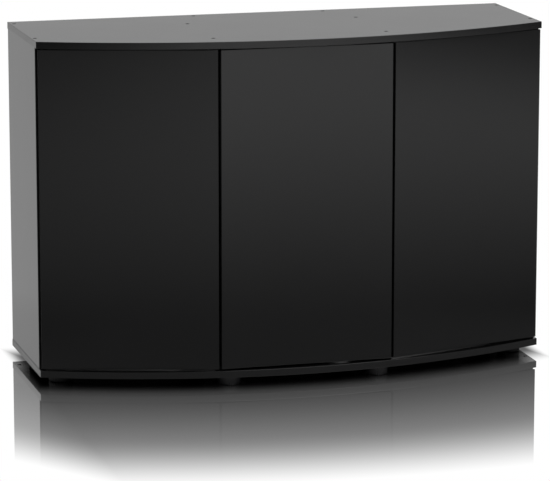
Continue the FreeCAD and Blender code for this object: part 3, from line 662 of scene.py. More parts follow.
def chipboard(name, tint):
    """Raw board in a hole: pressed chips of light and dark wood."""
    finish, shader, wire = new_finish(name)
    spot = place_of(wire, (1, 1, 2.2))
    chips = cells(wire, spot, 700)
    fibres = noise(wire, spot, 3000, detail=4)
    painted(wire, shader, chips * 0.6 + fibres * 0.4, tint, 0.55, 1.3)
    shader.inputs["Roughness"].default_value = 0.85
    bumped(wire, shader, chips * 0.7 + fibres * 0.3, 0.0002)
    return finish


def plated_steel(name, tint, roughness):
    """Nickel on pressed steel: fine drawing lines, with the plating duller in soft patches."""
    finish, shader, wire = new_finish(name)
    lines = noise(wire, place_of(wire, (900, 900, 12000)), 1, detail=2)
    patches = noise(wire, place_of(wire), 130, detail=4)
    painted(wire, shader, patches, tint, 0.82, 1.1)
    feed(patches * 0.16 + lines * 0.08 + (roughness - 0.12), shader, "Roughness")
    bumped(wire, shader, lines * 0.6 + patches * 0.4, 0.000015, 0.5)
    shader.inputs["Metallic"].default_value = 1
    return finish


def coated_steel(name, tint):
    """Black coated screws: a thin satin coat, rubbed a little brighter in spots."""
    finish, shader, wire = new_finish(name)
    worn = (noise(wire, place_of(wire), 700, detail=4) * 3 - 1.5).at_least(0)
    painted(wire, shader, worn, tint, 1, 3)
    feed(0.35 - worn * 0.1, shader, "Roughness")
    bumped(wire, shader, noise(wire, place_of(wire), 4000), 0.00001, 0.5)
    shader.inputs["Specular IOR Level"].default_value = 0
    return finish


def turned_beech(name, tint):
    """Beech: pale straight grain up the dowel, with short darker flecks."""
    finish, shader, wire = new_finish(name)
    grain = noise(wire, place_of(wire, (900, 900, 40)), 1, detail=5)
    flecks = (cells(wire, place_of(wire, (1, 1, 0.25)), 1100) * -5 + 1).at_least(0)
    painted(wire, shader, grain * 0.8 - flecks * 0.25 + 0.15, tint, 0.6, 1.12)
    shader.inputs["Roughness"].default_value = 0.62
    bumped(wire, shader, grain, 0.00008)
    return finish


def moulded_plastic(name, tint, roughness):
    """Moulded plastic with a fine eroded texture and slight flow marks."""
    finish, shader, wire = new_finish(name)
    spot = place_of(wire)
    texture = noise(wire, spot, 2400, detail=3)
    flow = noise(wire, spot, 60, detail=2)
    painted(wire, shader, flow * 0.7 + texture * 0.3, tint, 0.85, 1.2)
    feed(flow * 0.1 + texture * 0.08 + (roughness - 0.09), shader, "Roughness")
    bumped(wire, shader, texture, 0.00003, 0.6)
    shader.inputs["IOR"].default_value = 1.48
    return finish


def finish_for(name):
    """The finish of this name, made the first time that a piece asks for it."""
    kind, name = name, f"{name}_finish"
    found = bpy.data.materials.get(name)
    if found:
        return found
    scene = bpy.context.scene
    boards, hardware, plastics = scene.cabinet_boards, scene.cabinet_hardware, scene.cabinet_plastics
    makers = {
        "black_laminate": lambda: laminate(name, boards.laminate, boards.laminate_roughness),
        "black_edging": lambda: edging(name, boards.edging, boards.edging_roughness),
        "chipboard": lambda: chipboard(name, boards.chip),
        "black_screw_finish": lambda: coated_steel(name, hardware.coated),
        "nickel_plated_steel": lambda: plated_steel(name, hardware.nickel, hardware.nickel_roughness),
        "beech": lambda: turned_beech(name, hardware.beech),
        "foot_plastic": lambda: moulded_plastic(name, plastics.foot, plastics.foot_roughness),
        "latch_plastic": lambda: moulded_plastic(name, plastics.housing, plastics.roughness),
        "plunger_plastic": lambda: moulded_plastic(name, plastics.plunger, plastics.roughness),
    }
    return makers[kind]()


# ---- boards ----


def bowed_board(name, screws, face_up):
    """A bowed board with countersunk screw holes, and its banding."""
    settings = bpy.context.scene.cabinet_boards
    low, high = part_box(f"{name}_panel")
    thickness, trim, clear = band_thickness(), settings.trim, settings.recess
    inner = thickness + trim
    mesh = bmesh.new()
    add_loops(mesh, [bow_outline(inner, low.z), bow_outline(thickness, low.z + trim),
                     bow_outline(thickness, high.z - trim), bow_outline(inner, high.z)])
    face, sign = (high.z, 1) if face_up else (low.z, -1)
    cuts = []
    for box in solids(screws):
        where = middle(box)
        where.z = face
        mouth = half_across(box) + clear
        shank = half_across(box) * settings.clearance_hole
        cuts.append(bore(where, [(mouth + clear, clear), (mouth, 0), (shank, shank - mouth),
                                 (shank, low.z - high.z - clear)], sign=sign))
    sockets = [] if face_up else solids("foot_sockets")
    for box in sockets:
        where = middle(box)
        where.z = low.z
        radius = half_across(box)
        cuts.append(bore(where, [(radius, -clear), (radius, high.z - low.z + clear)]))
    # the walls of the screw and foot socket holes take the black screw finish instead of raw chipboard:
    # painted shade in the holes
    add_piece(f"{name}_board", mesh, "carcass", "black_laminate", [f"{name}_panel"], cuts,
              "black_screw_finish")

    profile = edged_profile(thickness, low.z, high.z, settings.arris, trim)
    mesh = bmesh.new()
    add_loops(mesh, [bow_outline(inset, height) for inset, height in profile], closed=True)
    add_piece(f"{name}_banding", mesh, "carcass", "black_edging", [f"{name}_edge_band"])


def standing_board(name, cuts=()):
    """A board with eased edges; chipboard shows in any hole."""
    mesh = bmesh.new()
    slab(mesh, *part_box(name), bpy.context.scene.cabinet_boards.trim)
    add_piece(f"{name}_board", mesh, "carcass", "black_laminate", [name], cuts, "chipboard")


def back_rails():
    """The low and high rails each side of the back board."""
    mesh = bmesh.new()
    for box in solids("back_rails"):
        slab(mesh, *box, bpy.context.scene.cabinet_boards.trim)
    add_piece("back_rail_boards", mesh, "carcass", "black_laminate", ["back_rails"])


def partition(side, sign):
    """A partition with two rows of shelf pin holes in its inner face."""
    settings = bpy.context.scene.cabinet_boards
    trim, name = settings.trim, f"{side}_partition"
    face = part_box(name)[1 if sign < 0 else 0].x
    cuts = []
    for box in solids("shelf_pins"):
        where = middle(box)
        if where.x * sign < 0:
            continue
        radius = (box[1].y - box[0].y) / 2
        hole = [(radius + trim, -trim), (radius + trim, 0), (radius, trim), (radius, settings.pin_depth)]
        for step in range(settings.pin_holes):
            up = (step - (settings.pin_holes - 1) / 2) * settings.pin_pitch
            cuts.append(bore(Vector((face, where.y, where.z + up)), hole, "X", sign))
    standing_board(name, cuts)


def upright_bands():
    """The banding on the front edges of the four uprights."""
    most_of_band = 0.9
    mesh = bmesh.new()
    for low, high in solids("upright_edge_bands"):
        reach = min(bpy.context.scene.cabinet_boards.arris, (high.y - low.y) * most_of_band)
        centre, half = (low.x + high.x) / 2, (high.x - low.x) / 2
        left = [(-half + reach - reach * math.cos(a), low.y + reach - reach * math.sin(a))
                for a in QUARTER_TURN]
        outline = [(-half, high.y)] + left + [(-x, y) for x, y in reversed(left)] + [(half, high.y)]
        add_loops(mesh, [[Vector((centre + x, y, z)) for x, y in outline] for z in (low.z, high.z)])
    add_piece("upright_banding", mesh, "carcass", "black_edging", ["upright_edge_bands"])


def shelf():
    mesh = bmesh.new()
    slab(mesh, *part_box("shelf"), bpy.context.scene.cabinet_boards.arris, steps=ARRIS_STEPS)
    add_piece("shelf_board", mesh, "carcass", "black_laminate", ["shelf"])


def shelf_pins():
    """Turned pins with a thin collar against the partition."""
    settings = bpy.context.scene.cabinet_boards
    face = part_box("right_partition")[0].x
    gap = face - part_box("shelf")[1].x
    ease = settings.trim * 2
    mesh = bmesh.new()
    for low, high in solids("shelf_pins"):
        radius = (high.y - low.y) / 2
        collar = radius * settings.collar
        inner, outer = sorted((abs(low.x), abs(high.x)))
        profile = [(radius - ease, inner), (radius, inner + ease), (radius, face - gap * 0.8),
                   (collar, face - gap * 0.75), (collar, face - gap * 0.1),
                   (radius, face - gap * 0.05), (radius, outer - ease), (radius - ease, outer)]
        spot = Vector((0, (low.y + high.y) / 2, (low.z + high.z) / 2))
        add_loops(mesh, rings(profile), frame_space(spot, UP, BACK, RIGHT if low.x > 0 else -RIGHT))
    add_piece("shelf_support_pins", mesh, "carcass", "nickel_plated_steel", ["shelf_pins"])


# ---- screws and dowels ----


def board_screw(mesh, box, head_up):
    """A countersunk screw with a hexagon socket, a plain neck, a rolled thread and a blunt tip."""
    settings = bpy.context.scene.cabinet_hardware
    low, high = box
    head, span, drive = half_across(box), high.z - low.z, settings.drive
    core, crest, ease = head * 0.45, head * 0.61, head * 0.05
    neck, tip = span * 0.36, span * 0.05
    loops = rings([(core * 0.3, 0), (core * 0.9, tip)])
    loops += threaded(tip + ease, span - neck, core, crest, settings.board_thread)
    loops += rings([(crest, span - neck + ease * 4), (crest, span - head * 0.45), (head, span - ease),
                    (head - ease, span)])
    loops += [hexagon(drive + ease, span), hexagon(drive, span - ease), hexagon(drive, span - drive)]
    loops += rings([(drive * 0.3, span - drive * 1.25)])
    centre, up = middle(box), UP if head_up else -UP
    base = Vector((centre.x, centre.y, low.z if head_up else high.z))
    add_loops(mesh, loops, frame_space(base, RIGHT, up.cross(RIGHT), up))


def board_screws(node, name, head_up):
    mesh = bmesh.new()
    for box in solids(node):
        board_screw(mesh, box, head_up)
    add_piece(name, mesh, "carcass", "black_screw_finish", [node])


def small_screw(mesh, space, head_radius, head_height, shank_radius, shank_length):
    """A pan head screw with a cross recess, its seat at the space's origin and its head up Z."""
    pitch = bpy.context.scene.cabinet_hardware.small_thread
    dome = [(1, 0), (1, 0.35), (0.9, 0.75), (0.7, 0.95)]
    loops = rings([(shank_radius * 0.2, -shank_length)])
    loops += threaded(-shank_length * 0.96, -shank_length * 0.04, shank_radius * 0.72, shank_radius,
                      pitch, turns_per_pitch=3)
    loops += rings([(head_radius * reach, head_height * up) for reach, up in dome])
    loops += [cross_loop(head_radius * 0.55, head_radius * 0.16, head_height * 0.98),
              cross_loop(head_radius * 0.4, head_radius * 0.1, head_height * 0.3)]
    add_loops(mesh, loops, space)


def cross_loop(reach, half_width, height):
    """A cross with as many points as a small circle."""
    points = []
    for quarter in range(4):
        turn = Matrix.Rotation(math.pi / 2 * quarter, 3, "Z")
        arm = [(reach, -half_width), (reach, 0), (reach, half_width), (reach * 0.6, half_width),
               (half_width * 1.1, half_width * 1.1), (half_width, reach * 0.6)]
        points += [turn @ Vector((x, y, height)) for x, y in arm]
    return points[1:] + points[:1]


def dowels():
    """Fluted beech dowels with eased ends."""
    settings = bpy.context.scene.cabinet_hardware
    flute_points, flute, end = 4, 0.93, 0.8
    mesh = bmesh.new()
    for low, high in solids("dowels"):
        radius = (high.x - low.x) / 2
        centre = (low + high) / 2
        ease = radius * 0.3
        loops = []
        for height, share_of_radius in ((low.z, end), (low.z + ease, 1), (high.z - ease, 1),
                                        (high.z, end)):
            loop = circle(1, height, settings.flute_count * flute_points)
            for step, point in enumerate(loop):
                reach = radius * share_of_radius * (1 if step % flute_points else flute)
                point.x, point.y = centre.x + point.x * reach, centre.y + point.y * reach
            loops.append(loop)
        add_loops(mesh, loops)
    add_piece("beech_dowels", mesh, "carcass", "beech", ["dowels"],
              soft_up_to=math.radians(50))


# ---- doors ----


def door(name):
    """A door leaf with its hinge cup bores, and its banding with rounded arrises."""
    settings = bpy.context.scene.cabinet_boards
    space, size = door_space(name)
    thickness = band_thickness()
    inner = Vector((thickness, 0, thickness))
    mesh = bmesh.new()
    slab(mesh, inner, size - inner, settings.trim, space)
    radius = bpy.context.scene.cabinet_hardware.cup_radius
    cuts = []
    for level in LEVELS:
        hinge = hinge_space(name, level)
        low = extent(node_points(f"{name}_{level}_hinge_cup", hinge))[0]
        where = space.inverted() @ (hinge @ Vector((low.x + radius, 0, 0)))
        profile = [(radius, low.y), (radius, size.y + settings.recess)]
        cuts.append(placed(bore(Vector((where.x, 0, where.z)), profile, "Y"), space))
    add_piece(f"{name}_leaf", mesh, name, "black_laminate", [name], cuts, "chipboard")

    loops = []
    for inset, depth in edged_profile(thickness, 0, size.y, settings.arris, settings.trim):
        far_x, far_z = size.x - inset, size.z - inset
        corners = [(inset, inset), (far_x, inset), (far_x, far_z), (inset, far_z)]
        loops.append([Vector((x, depth, z)) for x, z in corners])
    mesh = bmesh.new()
    add_loops(mesh, loops, space, closed=True)
    add_piece(f"{name}_banding", mesh, name, "black_edging", [f"{name}_edge_band"])


def strike_plate(name):
    """A round plate with a dished face and a countersunk screw."""
    space = door_space(name)[0]
    low, high = extent(node_points(f"{name}_strike_plate", space))
    radius, thick, centre = (high.x - low.x) / 2, high.y - low.y, (low + high) / 2
    inward, along = space.to_3x3() @ BACK, space.to_3x3() @ RIGHT
    centre.y = low.y
    profile = [(1, 0), (1, 0.6), (0.96, 1), (0.5, 0.9), (0.44, 0.82), (0.42, 0.6), (0.4, 0.82),
               (0.3, 0.92)]
    mesh = bmesh.new()
    add_loops(mesh, rings([(radius * reach, thick * up) for reach, up in profile], ROUND_STEPS),
              frame_space(space @ centre, along, inward.cross(along), inward))
    add_piece(f"{name}_strike", mesh, name, "nickel_plated_steel", [f"{name}_strike_plate"])


# ---- hinges ----


def inward_from(space, x, depth, z):
    """A space at a point of another one, with its Z along that one's Y."""
    turn = space.to_3x3()
    return frame_space(space @ Vector((x, depth, z)), turn @ RIGHT, turn @ UP, turn @ BACK)


def off_from(space, off, back, z):
    """A space at a point of another one, with its Z along that one's X."""
    turn = space.to_3x3()
    return frame_space(space @ Vector((off, back, z)), turn @ BACK, turn @ UP, turn @ RIGHT)


def reach_of(outline, turn):
    """How far a convex outline round the origin reaches in a direction."""
    way = Vector((math.cos(turn), math.sin(turn)))
    reach = math.inf
    for start, finish in zip(outline, outline[1:] + outline[:1]):
        edge = Vector(finish) - Vector(start)
        if edge.length < TINY:
            continue
        outward = Vector((edge.y, -edge.x)).normalized()
        facing = outward.dot(way)
        if facing > TINY:
            reach = min(reach, outward.dot(Vector(start)) / facing)
    return reach


def hinge_cup(name, level):
    """A deep-drawn cup with a rolled rim in a winged flange, and its two screw holes."""
    settings = bpy.context.scene.cabinet_hardware
    node, hinge = f"{name}_{level}_hinge_cup", hinge_space(name, level)
    low, high = extent(node_points(node, hinge))
    face = door_space(name)[1].y
    radius, sheet = settings.cup_radius, settings.sheet
    half, wide, waist = high.z, high.x - low.x - radius, radius * 0.83
    corners = [(0, -half), (wide * 0.78, -half), (wide, -half * 0.87), (wide, half * 0.87),
               (wide * 0.78, half), (0, half), (-radius, waist), (-radius, -waist)]
    outline = [tuple(point) for point in rounded(corners, sheet * 2.5)]
    ease, inside, bottom = sheet * 0.3, radius - sheet, low.y + sheet
    turns = [2 * math.pi * step / ROUND_STEPS for step in range(ROUND_STEPS)]
    rim = [(max(reach_of(outline, turn), radius + ease / 10), turn) for turn in turns]

    def flange(inset, height, least=0):
        return [polar(max(reach - inset, least), turn, height) for reach, turn in rim]

    outer = [(radius * 0.3, low.y), (radius - sheet * 2, low.y),
             (radius - sheet * 0.6, low.y + sheet * 0.6), (radius, low.y + sheet * 2), (radius, face)]
    hollow = [(inside + ease, high.y), (inside, high.y - sheet * 0.7), (inside, bottom + sheet),
              (inside - sheet * 0.9, bottom), (radius * 0.3, bottom)]
    loops = rings(outer, ROUND_STEPS)
    loops += [flange(0, face), flange(0, high.y - ease), flange(ease, high.y, inside + ease * 2)]
    loops += rings(hollow, ROUND_STEPS)
    mesh = bmesh.new()
    add_loops(mesh, loops, inward_from(hinge, low.x + radius, 0, 0))
    hole = settings.small_shank * 1.03
    cuts = []
    for box in solids(f"{name}_cup_screws", hinge):
        spot = middle(box)
        if abs(spot.z) < half:
            through = rings([(hole, face - sheet), (hole, high.y + sheet)], ROUND_STEPS)
            cuts.append(placed(through, inward_from(hinge, spot.x, 0, spot.z)))
    add_piece(f"{name}_{level}_cup", mesh, name, "nickel_plated_steel", [node], cuts)


def hinge_arm(name, level):
    """A formed arm on its plate with two adjusting screws, and a hooked link with an eye for the pin."""
    settings = bpy.context.scene.cabinet_hardware
    node = f"{name}_{level}_hinge_arm"
    hinge, upright = hinge_space(name, level), upright_space(name, level)
    body_high = extent(node_points(node, upright))[1]
    sheet, half, back = settings.sheet, body_high.z, body_high.y
    top, plate_top = min(body_high.x, settings.arm_stand_off), settings.plate_thickness
    bend = sheet * 2.5
    loops = []
    for reach, height in ((0, top - sheet * 2), (sheet, top - sheet * 0.7), (sheet * 3, top),
                          (back - sheet * 12, top), (back - sheet * 8, top - sheet * 0.8),
                          (back - sheet, plate_top + sheet * 5.6), (back, plate_top + sheet * 4.6)):
        corners = [(plate_top, -half), (height, -half), (height, half), (plate_top, half)]
        ring = rounded(corners, bend if height > plate_top + bend * 2 else bend / 2)
        loops.append([Vector((off, reach, z)) for off, z in ring])
    mesh = bmesh.new()
    add_loops(mesh, loops, upright)
    add_link(mesh, hinge, pin_box(name, hinge))
    places = [back * 0.3, back * 0.62]
    well = [(sheet * 4, sheet), (sheet * 4, -sheet * 0.2), (sheet * 3.7, -sheet * 1.6)]
    wells = [placed(rings(well, ROUND_STEPS), off_from(upright, top, reach, 0)) for reach in places]
    add_piece(f"{name}_{level}_arm", mesh, "carcass", "nickel_plated_steel", [node], wells)
    mesh = bmesh.new()
    for reach in places:
        small_screw(mesh, off_from(upright, top - sheet * 1.5, reach, 0), sheet * 3.3, sheet * 1.3,
                    settings.small_shank, sheet * 6)
    add_piece(f"{name}_{level}_adjusting_screws", mesh, "carcass", "nickel_plated_steel")


def add_link(mesh, hinge, box):
    """The hooked link from a hinge's arm to its pin, and the eye round the pin."""
    settings = bpy.context.scene.cabinet_hardware
    pin, link, half = middle(box), settings.sheet, settings.link_height / 2
    far = pin.x + settings.crank
    elbow = [(pin.x, pin.y - link), (far + link, pin.y - link), (far + link, settings.leg_end),
             (far - link, settings.leg_end), (far - link, pin.y + link), (pin.x, pin.y + link)]
    plate(mesh, rounded(elbow, link * 1.6), -half, half, link * 0.1, hinge)
    eye, hole = settings.eye_radius, half_across(box) * 1.06
    add_loops(mesh, rings([(eye, -half), (eye, half), (hole, half), (hole, -half)]),
              hinge @ Matrix.Translation((pin.x, pin.y, 0)), closed=True)


def pin_box(name, hinge):
    """The box of the pin that belongs to a hinge, in that hinge's space."""
    return min(solids(f"{name}_hinge_pins", hinge), key=lambda box: abs(middle(box).z))


def hinge_pins(name):
    mesh = bmesh.new()
    for low, high in solids(f"{name}_hinge_pins"):
        radius = (high.x - low.x) / 2
        ease = radius * 0.25
        spot = (low + high) / 2
        profile = [(radius - ease, low.z), (radius, low.z + ease), (radius, high.z - ease),
                   (radius - ease, high.z)]
        add_loops(mesh, rings(profile), Matrix.Translation((spot.x, spot.y, 0)))
    add_piece(f"{name}_pins", mesh, name, "nickel_plated_steel", [f"{name}_hinge_pins"])


def cup_screws(name):
    """The screws that hold a door's two cups, their heads on the flanges."""
    shank = bpy.context.scene.cabinet_hardware.small_shank
    mesh = bmesh.new()
    for level in LEVELS:
        hinge = hinge_space(name, level)
        cup_high = extent(node_points(f"{name}_{level}_hinge_cup", hinge))[1]
        for low, high in solids(f"{name}_cup_screws", hinge):
            spot = (low + high) / 2
            if abs(spot.z) < cup_high.z:
                small_screw(mesh, inward_from(hinge, spot.x, cup_high.y, spot.z), (high.z - low.z) / 2,
                            high.y - cup_high.y, shank, cup_high.y - low.y)
    add_piece(f"{name}_cup_fixing_screws", mesh, name, "nickel_plated_steel", [f"{name}_cup_screws"])


def mounting_plates():
    """Winged plates under the hinge arms, stamped with rounded corners."""
    settings = bpy.context.scene.cabinet_hardware
    arm_low, arm_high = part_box("left_door_lower_hinge_arm")
    half_arm, half_wing = (arm_high.z - arm_low.z) / 2, settings.wing / 2
    mesh = bmesh.new()
    for low, high in solids("hinge_mounting_plates"):
        spot = (low + high) / 2
        base, rise = (high.y - low.y) / 2, (high.z - low.z) / 2
        quarter = [(base, half_arm), (half_wing, half_arm), (half_wing, rise)]
        outline = quarter + [(-y, z) for y, z in reversed(quarter)]
        outline += [(-y, -z) for y, z in quarter] + [(y, -z) for y, z in reversed(quarter)]
        plate(mesh, rounded(outline, settings.sheet * 2), low.x, high.x, settings.sheet * 0.25,
              frame_space(Vector((0, spot.y, spot.z)), BACK, UP, RIGHT))
    add_piece("mounting_plates", mesh, "carcass", "nickel_plated_steel", ["hinge_mounting_plates"])


def plate_screws():
    """The screws through the mounting plates, each drawn in the space of the hinge beside it."""
    settings = bpy.context.scene.cabinet_hardware
    face = settings.plate_thickness
    mesh = bmesh.new()
    for name in HINGE_SIDES:
        for level in LEVELS:
            upright = upright_space(name, level)
            for low, high in solids("hinge_plate_screws", upright):
                spot = (low + high) / 2
                if abs(spot.x) < BESIDE_HINGE and abs(spot.z) < BESIDE_HINGE:
                    small_screw(mesh, off_from(upright, face, spot.y, spot.z), (high.z - low.z) / 2,
                                high.x - face, settings.small_shank, face - low.x)
    add_piece("plate_fixing_screws", mesh, "carcass", "nickel_plated_steel", ["hinge_plate_screws"])


# ---- latches ----


def latch(name):
    """A ribbed latch housing bored for its plunger, and the round-nosed plunger."""
    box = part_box(f"{name}_latch_housing")
    plunger_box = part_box(f"{name}_latch_plunger")
    settings = bpy.context.scene.cabinet_plastics
    start, centre, half = box[0].y, middle(box), half_across(box)
    depth, ease, waist = box[1].y - start, half * 0.09, half * 0.92
    space = frame_space(Vector((centre.x, start, centre.z)), RIGHT, UP, BACK)
    sections = [(half - ease, 0), (half, ease), (half, depth * 0.12), (waist, depth * 0.13)]
    for rib in range(1, settings.ribs + 1):
        along = depth * (0.12 + 0.72 * rib / (settings.ribs + 1))
        sections += [(waist, along), (half, along + ease), (half, along + ease * 4),
                     (waist, along + ease * 5)]
    sections += [(waist, depth * 0.87), (half, depth * 0.88), (half, depth - ease), (half - ease, depth)]
    loops = []
    for reach, along in sections:
        corners = [(-reach, -reach), (reach, -reach), (reach, reach), (-reach, reach)]
        loops.append([Vector((x, y, along)) for x, y in rounded(corners, half * 0.2)])
    mesh = bmesh.new()
    add_loops(mesh, loops, space)
    radius = half_across(plunger_box)
    play, mouth = radius * 0.02, radius + ease * 2
    hole = [(mouth, -ease), (mouth, 0), (radius + play, ease),
            (radius + play, plunger_box[1].y - start + half)]
    add_piece(f"{name}_latch_body", mesh, "carcass", "latch_plastic", [f"{name}_latch_housing"],
              [placed(rings(hole, ROUND_STEPS), space)])

    reach = plunger_box[1].y - plunger_box[0].y
    nose = [(0.3, 0), (0.62, 0), (0.8, 0.12), (0.93, 0.3), (1, 0.55), (1, 1.3), (0.92, 1.38),
            (0.92, 1.5), (1, 1.58)]
    profile = [(radius * out, radius * along) for out, along in nose]
    profile += [(radius, reach - play * 5), (radius * 0.9, reach)]
    mesh = bmesh.new()
    add_loops(mesh, rings(profile), space @ Matrix.Translation((0, 0, plunger_box[0].y - start)))
    add_piece(f"{name}_push_plunger", mesh, f"{name}_latch_plunger", "plunger_plastic",
              [f"{name}_latch_plunger"])


# ---- feet ----


def foot(name):
    """A levelling foot: a lobed rim for turning by hand, a threaded stem and a hexagon socket."""
    settings = bpy.context.scene.cabinet_plastics
    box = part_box(name)
    low, high, centre, radius = box[0], box[1], middle(box), half_across(box)
    stem, ease, drive = settings.stem_radius, settings.foot_clearance, settings.foot_drive
    height, top = high.z - low.z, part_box("bottom_panel")[0].z - ease - low.z
    lobe_points = 4
    steps = settings.lobes * lobe_points
    bevel = radius * 0.06
    half_bevel, inset = bevel * 0.5, bevel * 1.3

    def lobed(reach, height):
        loop = circle(1, height, steps)
        for step, point in enumerate(loop):
            wave = (1 - math.cos(2 * math.pi * step / lobe_points)) / 2
            point.x *= reach - settings.lobe_depth * wave
            point.y *= reach - settings.lobe_depth * wave
        return loop

    loops = rings([(radius * 0.3, half_bevel), (radius * 0.76, half_bevel), (radius * 0.8, 0),
                   (radius - inset, 0)], steps)
    loops += [lobed(radius - bevel * 0.35, half_bevel), lobed(radius, bevel * 1.4),
              lobed(radius, top - bevel * 1.4), lobed(radius - bevel * 0.35, top - half_bevel)]
    loops += rings([(radius - inset, top), (radius * 0.86, top), (radius * 0.82, top - half_bevel),
                    (radius * 0.45, top - half_bevel), (radius * 0.4, top), (stem * 0.5, top)], steps)
    space = Matrix.Translation((centre.x, centre.y, low.z))
    mesh = bmesh.new()
    add_loops(mesh, loops, space)
    loops = rings([(stem * 0.85, top - bevel)])
    loops += threaded(top, height - ease, stem * 0.87, stem, settings.stem_thread)
    loops += rings([(stem * 0.8, height)])
    loops += [hexagon(drive + ease / 2, height), hexagon(drive, height - ease),
              hexagon(drive, height - drive * 2)]
    loops += rings([(drive * 0.3, height - drive * 2.1)])
    add_loops(mesh, loops, space)
    add_piece(f"{name}_levelling", mesh, name, "foot_plastic", [name])


def foot_sockets():
    """Threaded sockets pressed into the bottom board."""
    settings = bpy.context.scene.cabinet_plastics
    ease, inner = settings.foot_clearance, settings.stem_radius * 1.01
    mesh = bmesh.new()
    for low, high in solids("foot_sockets"):
        outer, centre = (high.x - low.x) / 2, (low + high) / 2
        loops = rings([(inner + ease, low.z), (outer - ease, low.z), (outer, low.z + ease),
                       (outer, high.z - ease), (outer - ease, high.z), (inner + ease, high.z)])
        thread = threaded(low.z + ease, high.z - ease, inner, inner * 1.12, settings.stem_thread)
        add_loops(mesh, loops + thread[::-1], Matrix.Translation((centre.x, centre.y, 0)), closed=True)
    add_piece("foot_threaded_sockets", mesh, "carcass", "foot_plastic", ["foot_sockets"])


# ---- stage ----


def studio_world():
    """White light from behind, the sides and above, and a dimmer room in front of the cabinet."""
    settings = bpy.context.scene.cabinet_stage
    world = bpy.data.worlds.new("studio")
    bpy.context.scene.world = world
    world.use_nodes = True
    background = world.node_tree.nodes["Background"]
    wire = Wire(world.node_tree)
    way = wire.node("ShaderNodeTexCoord", output="Generated")
    back = wire.node("ShaderNodeSeparateXYZ", sockets={0: way}, output=1)
    to_camera = wire.node("ShaderNodeLightPath", output="Is Camera Ray")
    off_mirror = wire.node("ShaderNodeLightPath", output="Is Singular Ray")
    bounces = wire.node("ShaderNodeLightPath", output="Ray Depth")
    mirror_bounces = 2.5      # the floor's mirror, seen directly or once more, still meets plain white
    dusk, dawn = -0.35, 0.25  # how far back a direction points where the light starts and ends to grow
    seen = to_camera.at_least(off_mirror * wire.maths("LESS_THAN", bounces, mirror_bounces))
    bright = smooth_step(wire, back, dusk, dawn)
    level = settings.room + (settings.backdrop - settings.room) * bright
    feed(seen + (1 - seen) * level, background, "Strength")
    background.inputs["Color"].default_value = WHITE


def studio_floor():
    """A white floor that mirrors the cabinet beside it, the reflection fading with distance."""
    settings = bpy.context.scene.cabinet_stage
    mesh = bmesh.new()
    edge = circle(settings.floor_radius, CAD_BOX[0].z, ROUND_STEPS * 2)
    mesh.faces.new([mesh.verts.new(point) for point in edge])
    data = bpy.data.meshes.new("studio_floor")
    mesh.to_mesh(data)
    mesh.free()
    floor = bpy.data.objects.new("studio_floor", data)
    bpy.context.scene.collection.objects.link(floor)
    data.materials.append(floor_finish())


def smooth_step(wire, value, low, high):
    return wire.node("ShaderNodeMapRange", {"interpolation_type": "SMOOTHSTEP"},
                     {"Value": value, "From Min": low, "From Max": high})


def mixed_shaders(wire, amount, first, second):
    return wire.node("ShaderNodeMixShader", sockets={0: amount, 1: first, 2: second})


def white_light(wire, strength):
    return wire.node("ShaderNodeEmission", sockets={"Color": WHITE, "Strength": strength})


def grey_mirror(wire, tone):
    return wire.node("ShaderNodeBsdfAnisotropic",
                     sockets={"Color": (tone, tone, tone, 1), "Roughness": 0})


def floor_finish():
    """A mirror near the cabinet that turns with distance into a plain white light."""
    settings = bpy.context.scene.cabinet_stage
    finish = bpy.data.materials.new("studio_floor")
    finish.use_nodes = True
    finish.node_tree.nodes.clear()
    wire = Wire(finish.node_tree)
    spot = wire.node("ShaderNodeTexCoord", output="Object")
    x = wire.node("ShaderNodeSeparateXYZ", sockets={0: spot}, output=0)
    y = wire.node("ShaderNodeSeparateXYZ", sockets={0: spot}, output=1)
    half, back, radius, centre_y = bow()
    in_front = ((x ** 2 + (y - centre_y) * (y - centre_y)) ** 0.5) - radius
    beside = wire.maths("ABSOLUTE", x) - half
    outside = in_front.at_least(beside * settings.contact_side).at_least(y - back)
    away = in_front.at_least(y - back).at_least(0) + beside.at_least(0)
    near = smooth_step(wire, outside, -settings.contact_in, settings.contact_out)
    fading = smooth_step(wire, away, settings.fade_from, settings.fade_to)
    lightness = near * settings.veil + away * settings.veil_growth + fading * settings.fade
    to_camera = wire.node("ShaderNodeLightPath", output="Is Camera Ray")
    lit = (in_front / settings.front_reach).at_least(0).at_most(1)
    lit = lit * smooth_step(wire, x, settings.lit_from, settings.lit_from + settings.lit_rise)
    lit = lit * (1 - smooth_step(wire, x, settings.lit_to - settings.lit_fall, settings.lit_to))
    lit = settings.front_dim + (settings.front_lit - settings.front_dim) * lit
    front = 1 - smooth_step(wire, y, -back * 2, back)
    glow = front * lit + (1 - front) * settings.side_level
    strength = to_camera + (1 - to_camera) * glow
    brightest = max(settings.front_lit, 1)
    light = mixed_shaders(wire, strength / brightest, white_light(wire, 0), white_light(wire, brightest))
    # painted contact shadow: the mirror is tinted dark under the cabinet and lightens round its outline
    mirror = mixed_shaders(wire, near, grey_mirror(wire, settings.under), grey_mirror(wire, 1))
    mixed = mixed_shaders(wire, lightness.at_most(1) ** settings.softness, mirror, light)
    output = finish.node_tree.nodes.new("ShaderNodeOutputMaterial")
    finish.node_tree.links.new(mixed.socket, output.inputs["Surface"])
    return finish


def studio_lamp():
    """A soft round light above and in front of the doors."""
    settings = bpy.context.scene.cabinet_stage
    light = bpy.data.lights.new("studio_lamp", "AREA")
    light.shape = "DISK"
    light.size = settings.lamp_size
    light.energy = settings.lamp_power
    lamp = bpy.data.objects.new("studio_lamp", light)
    lamp.location = settings.lamp_place
    lamp.rotation_mode = "QUATERNION"
    way = Vector(settings.lamp_aim) - Vector(settings.lamp_place)
    lamp.rotation_quaternion = way.to_track_quat("-Z", "Y")
    lamp.visible_camera = False
    bpy.context.scene.collection.objects.link(lamp)


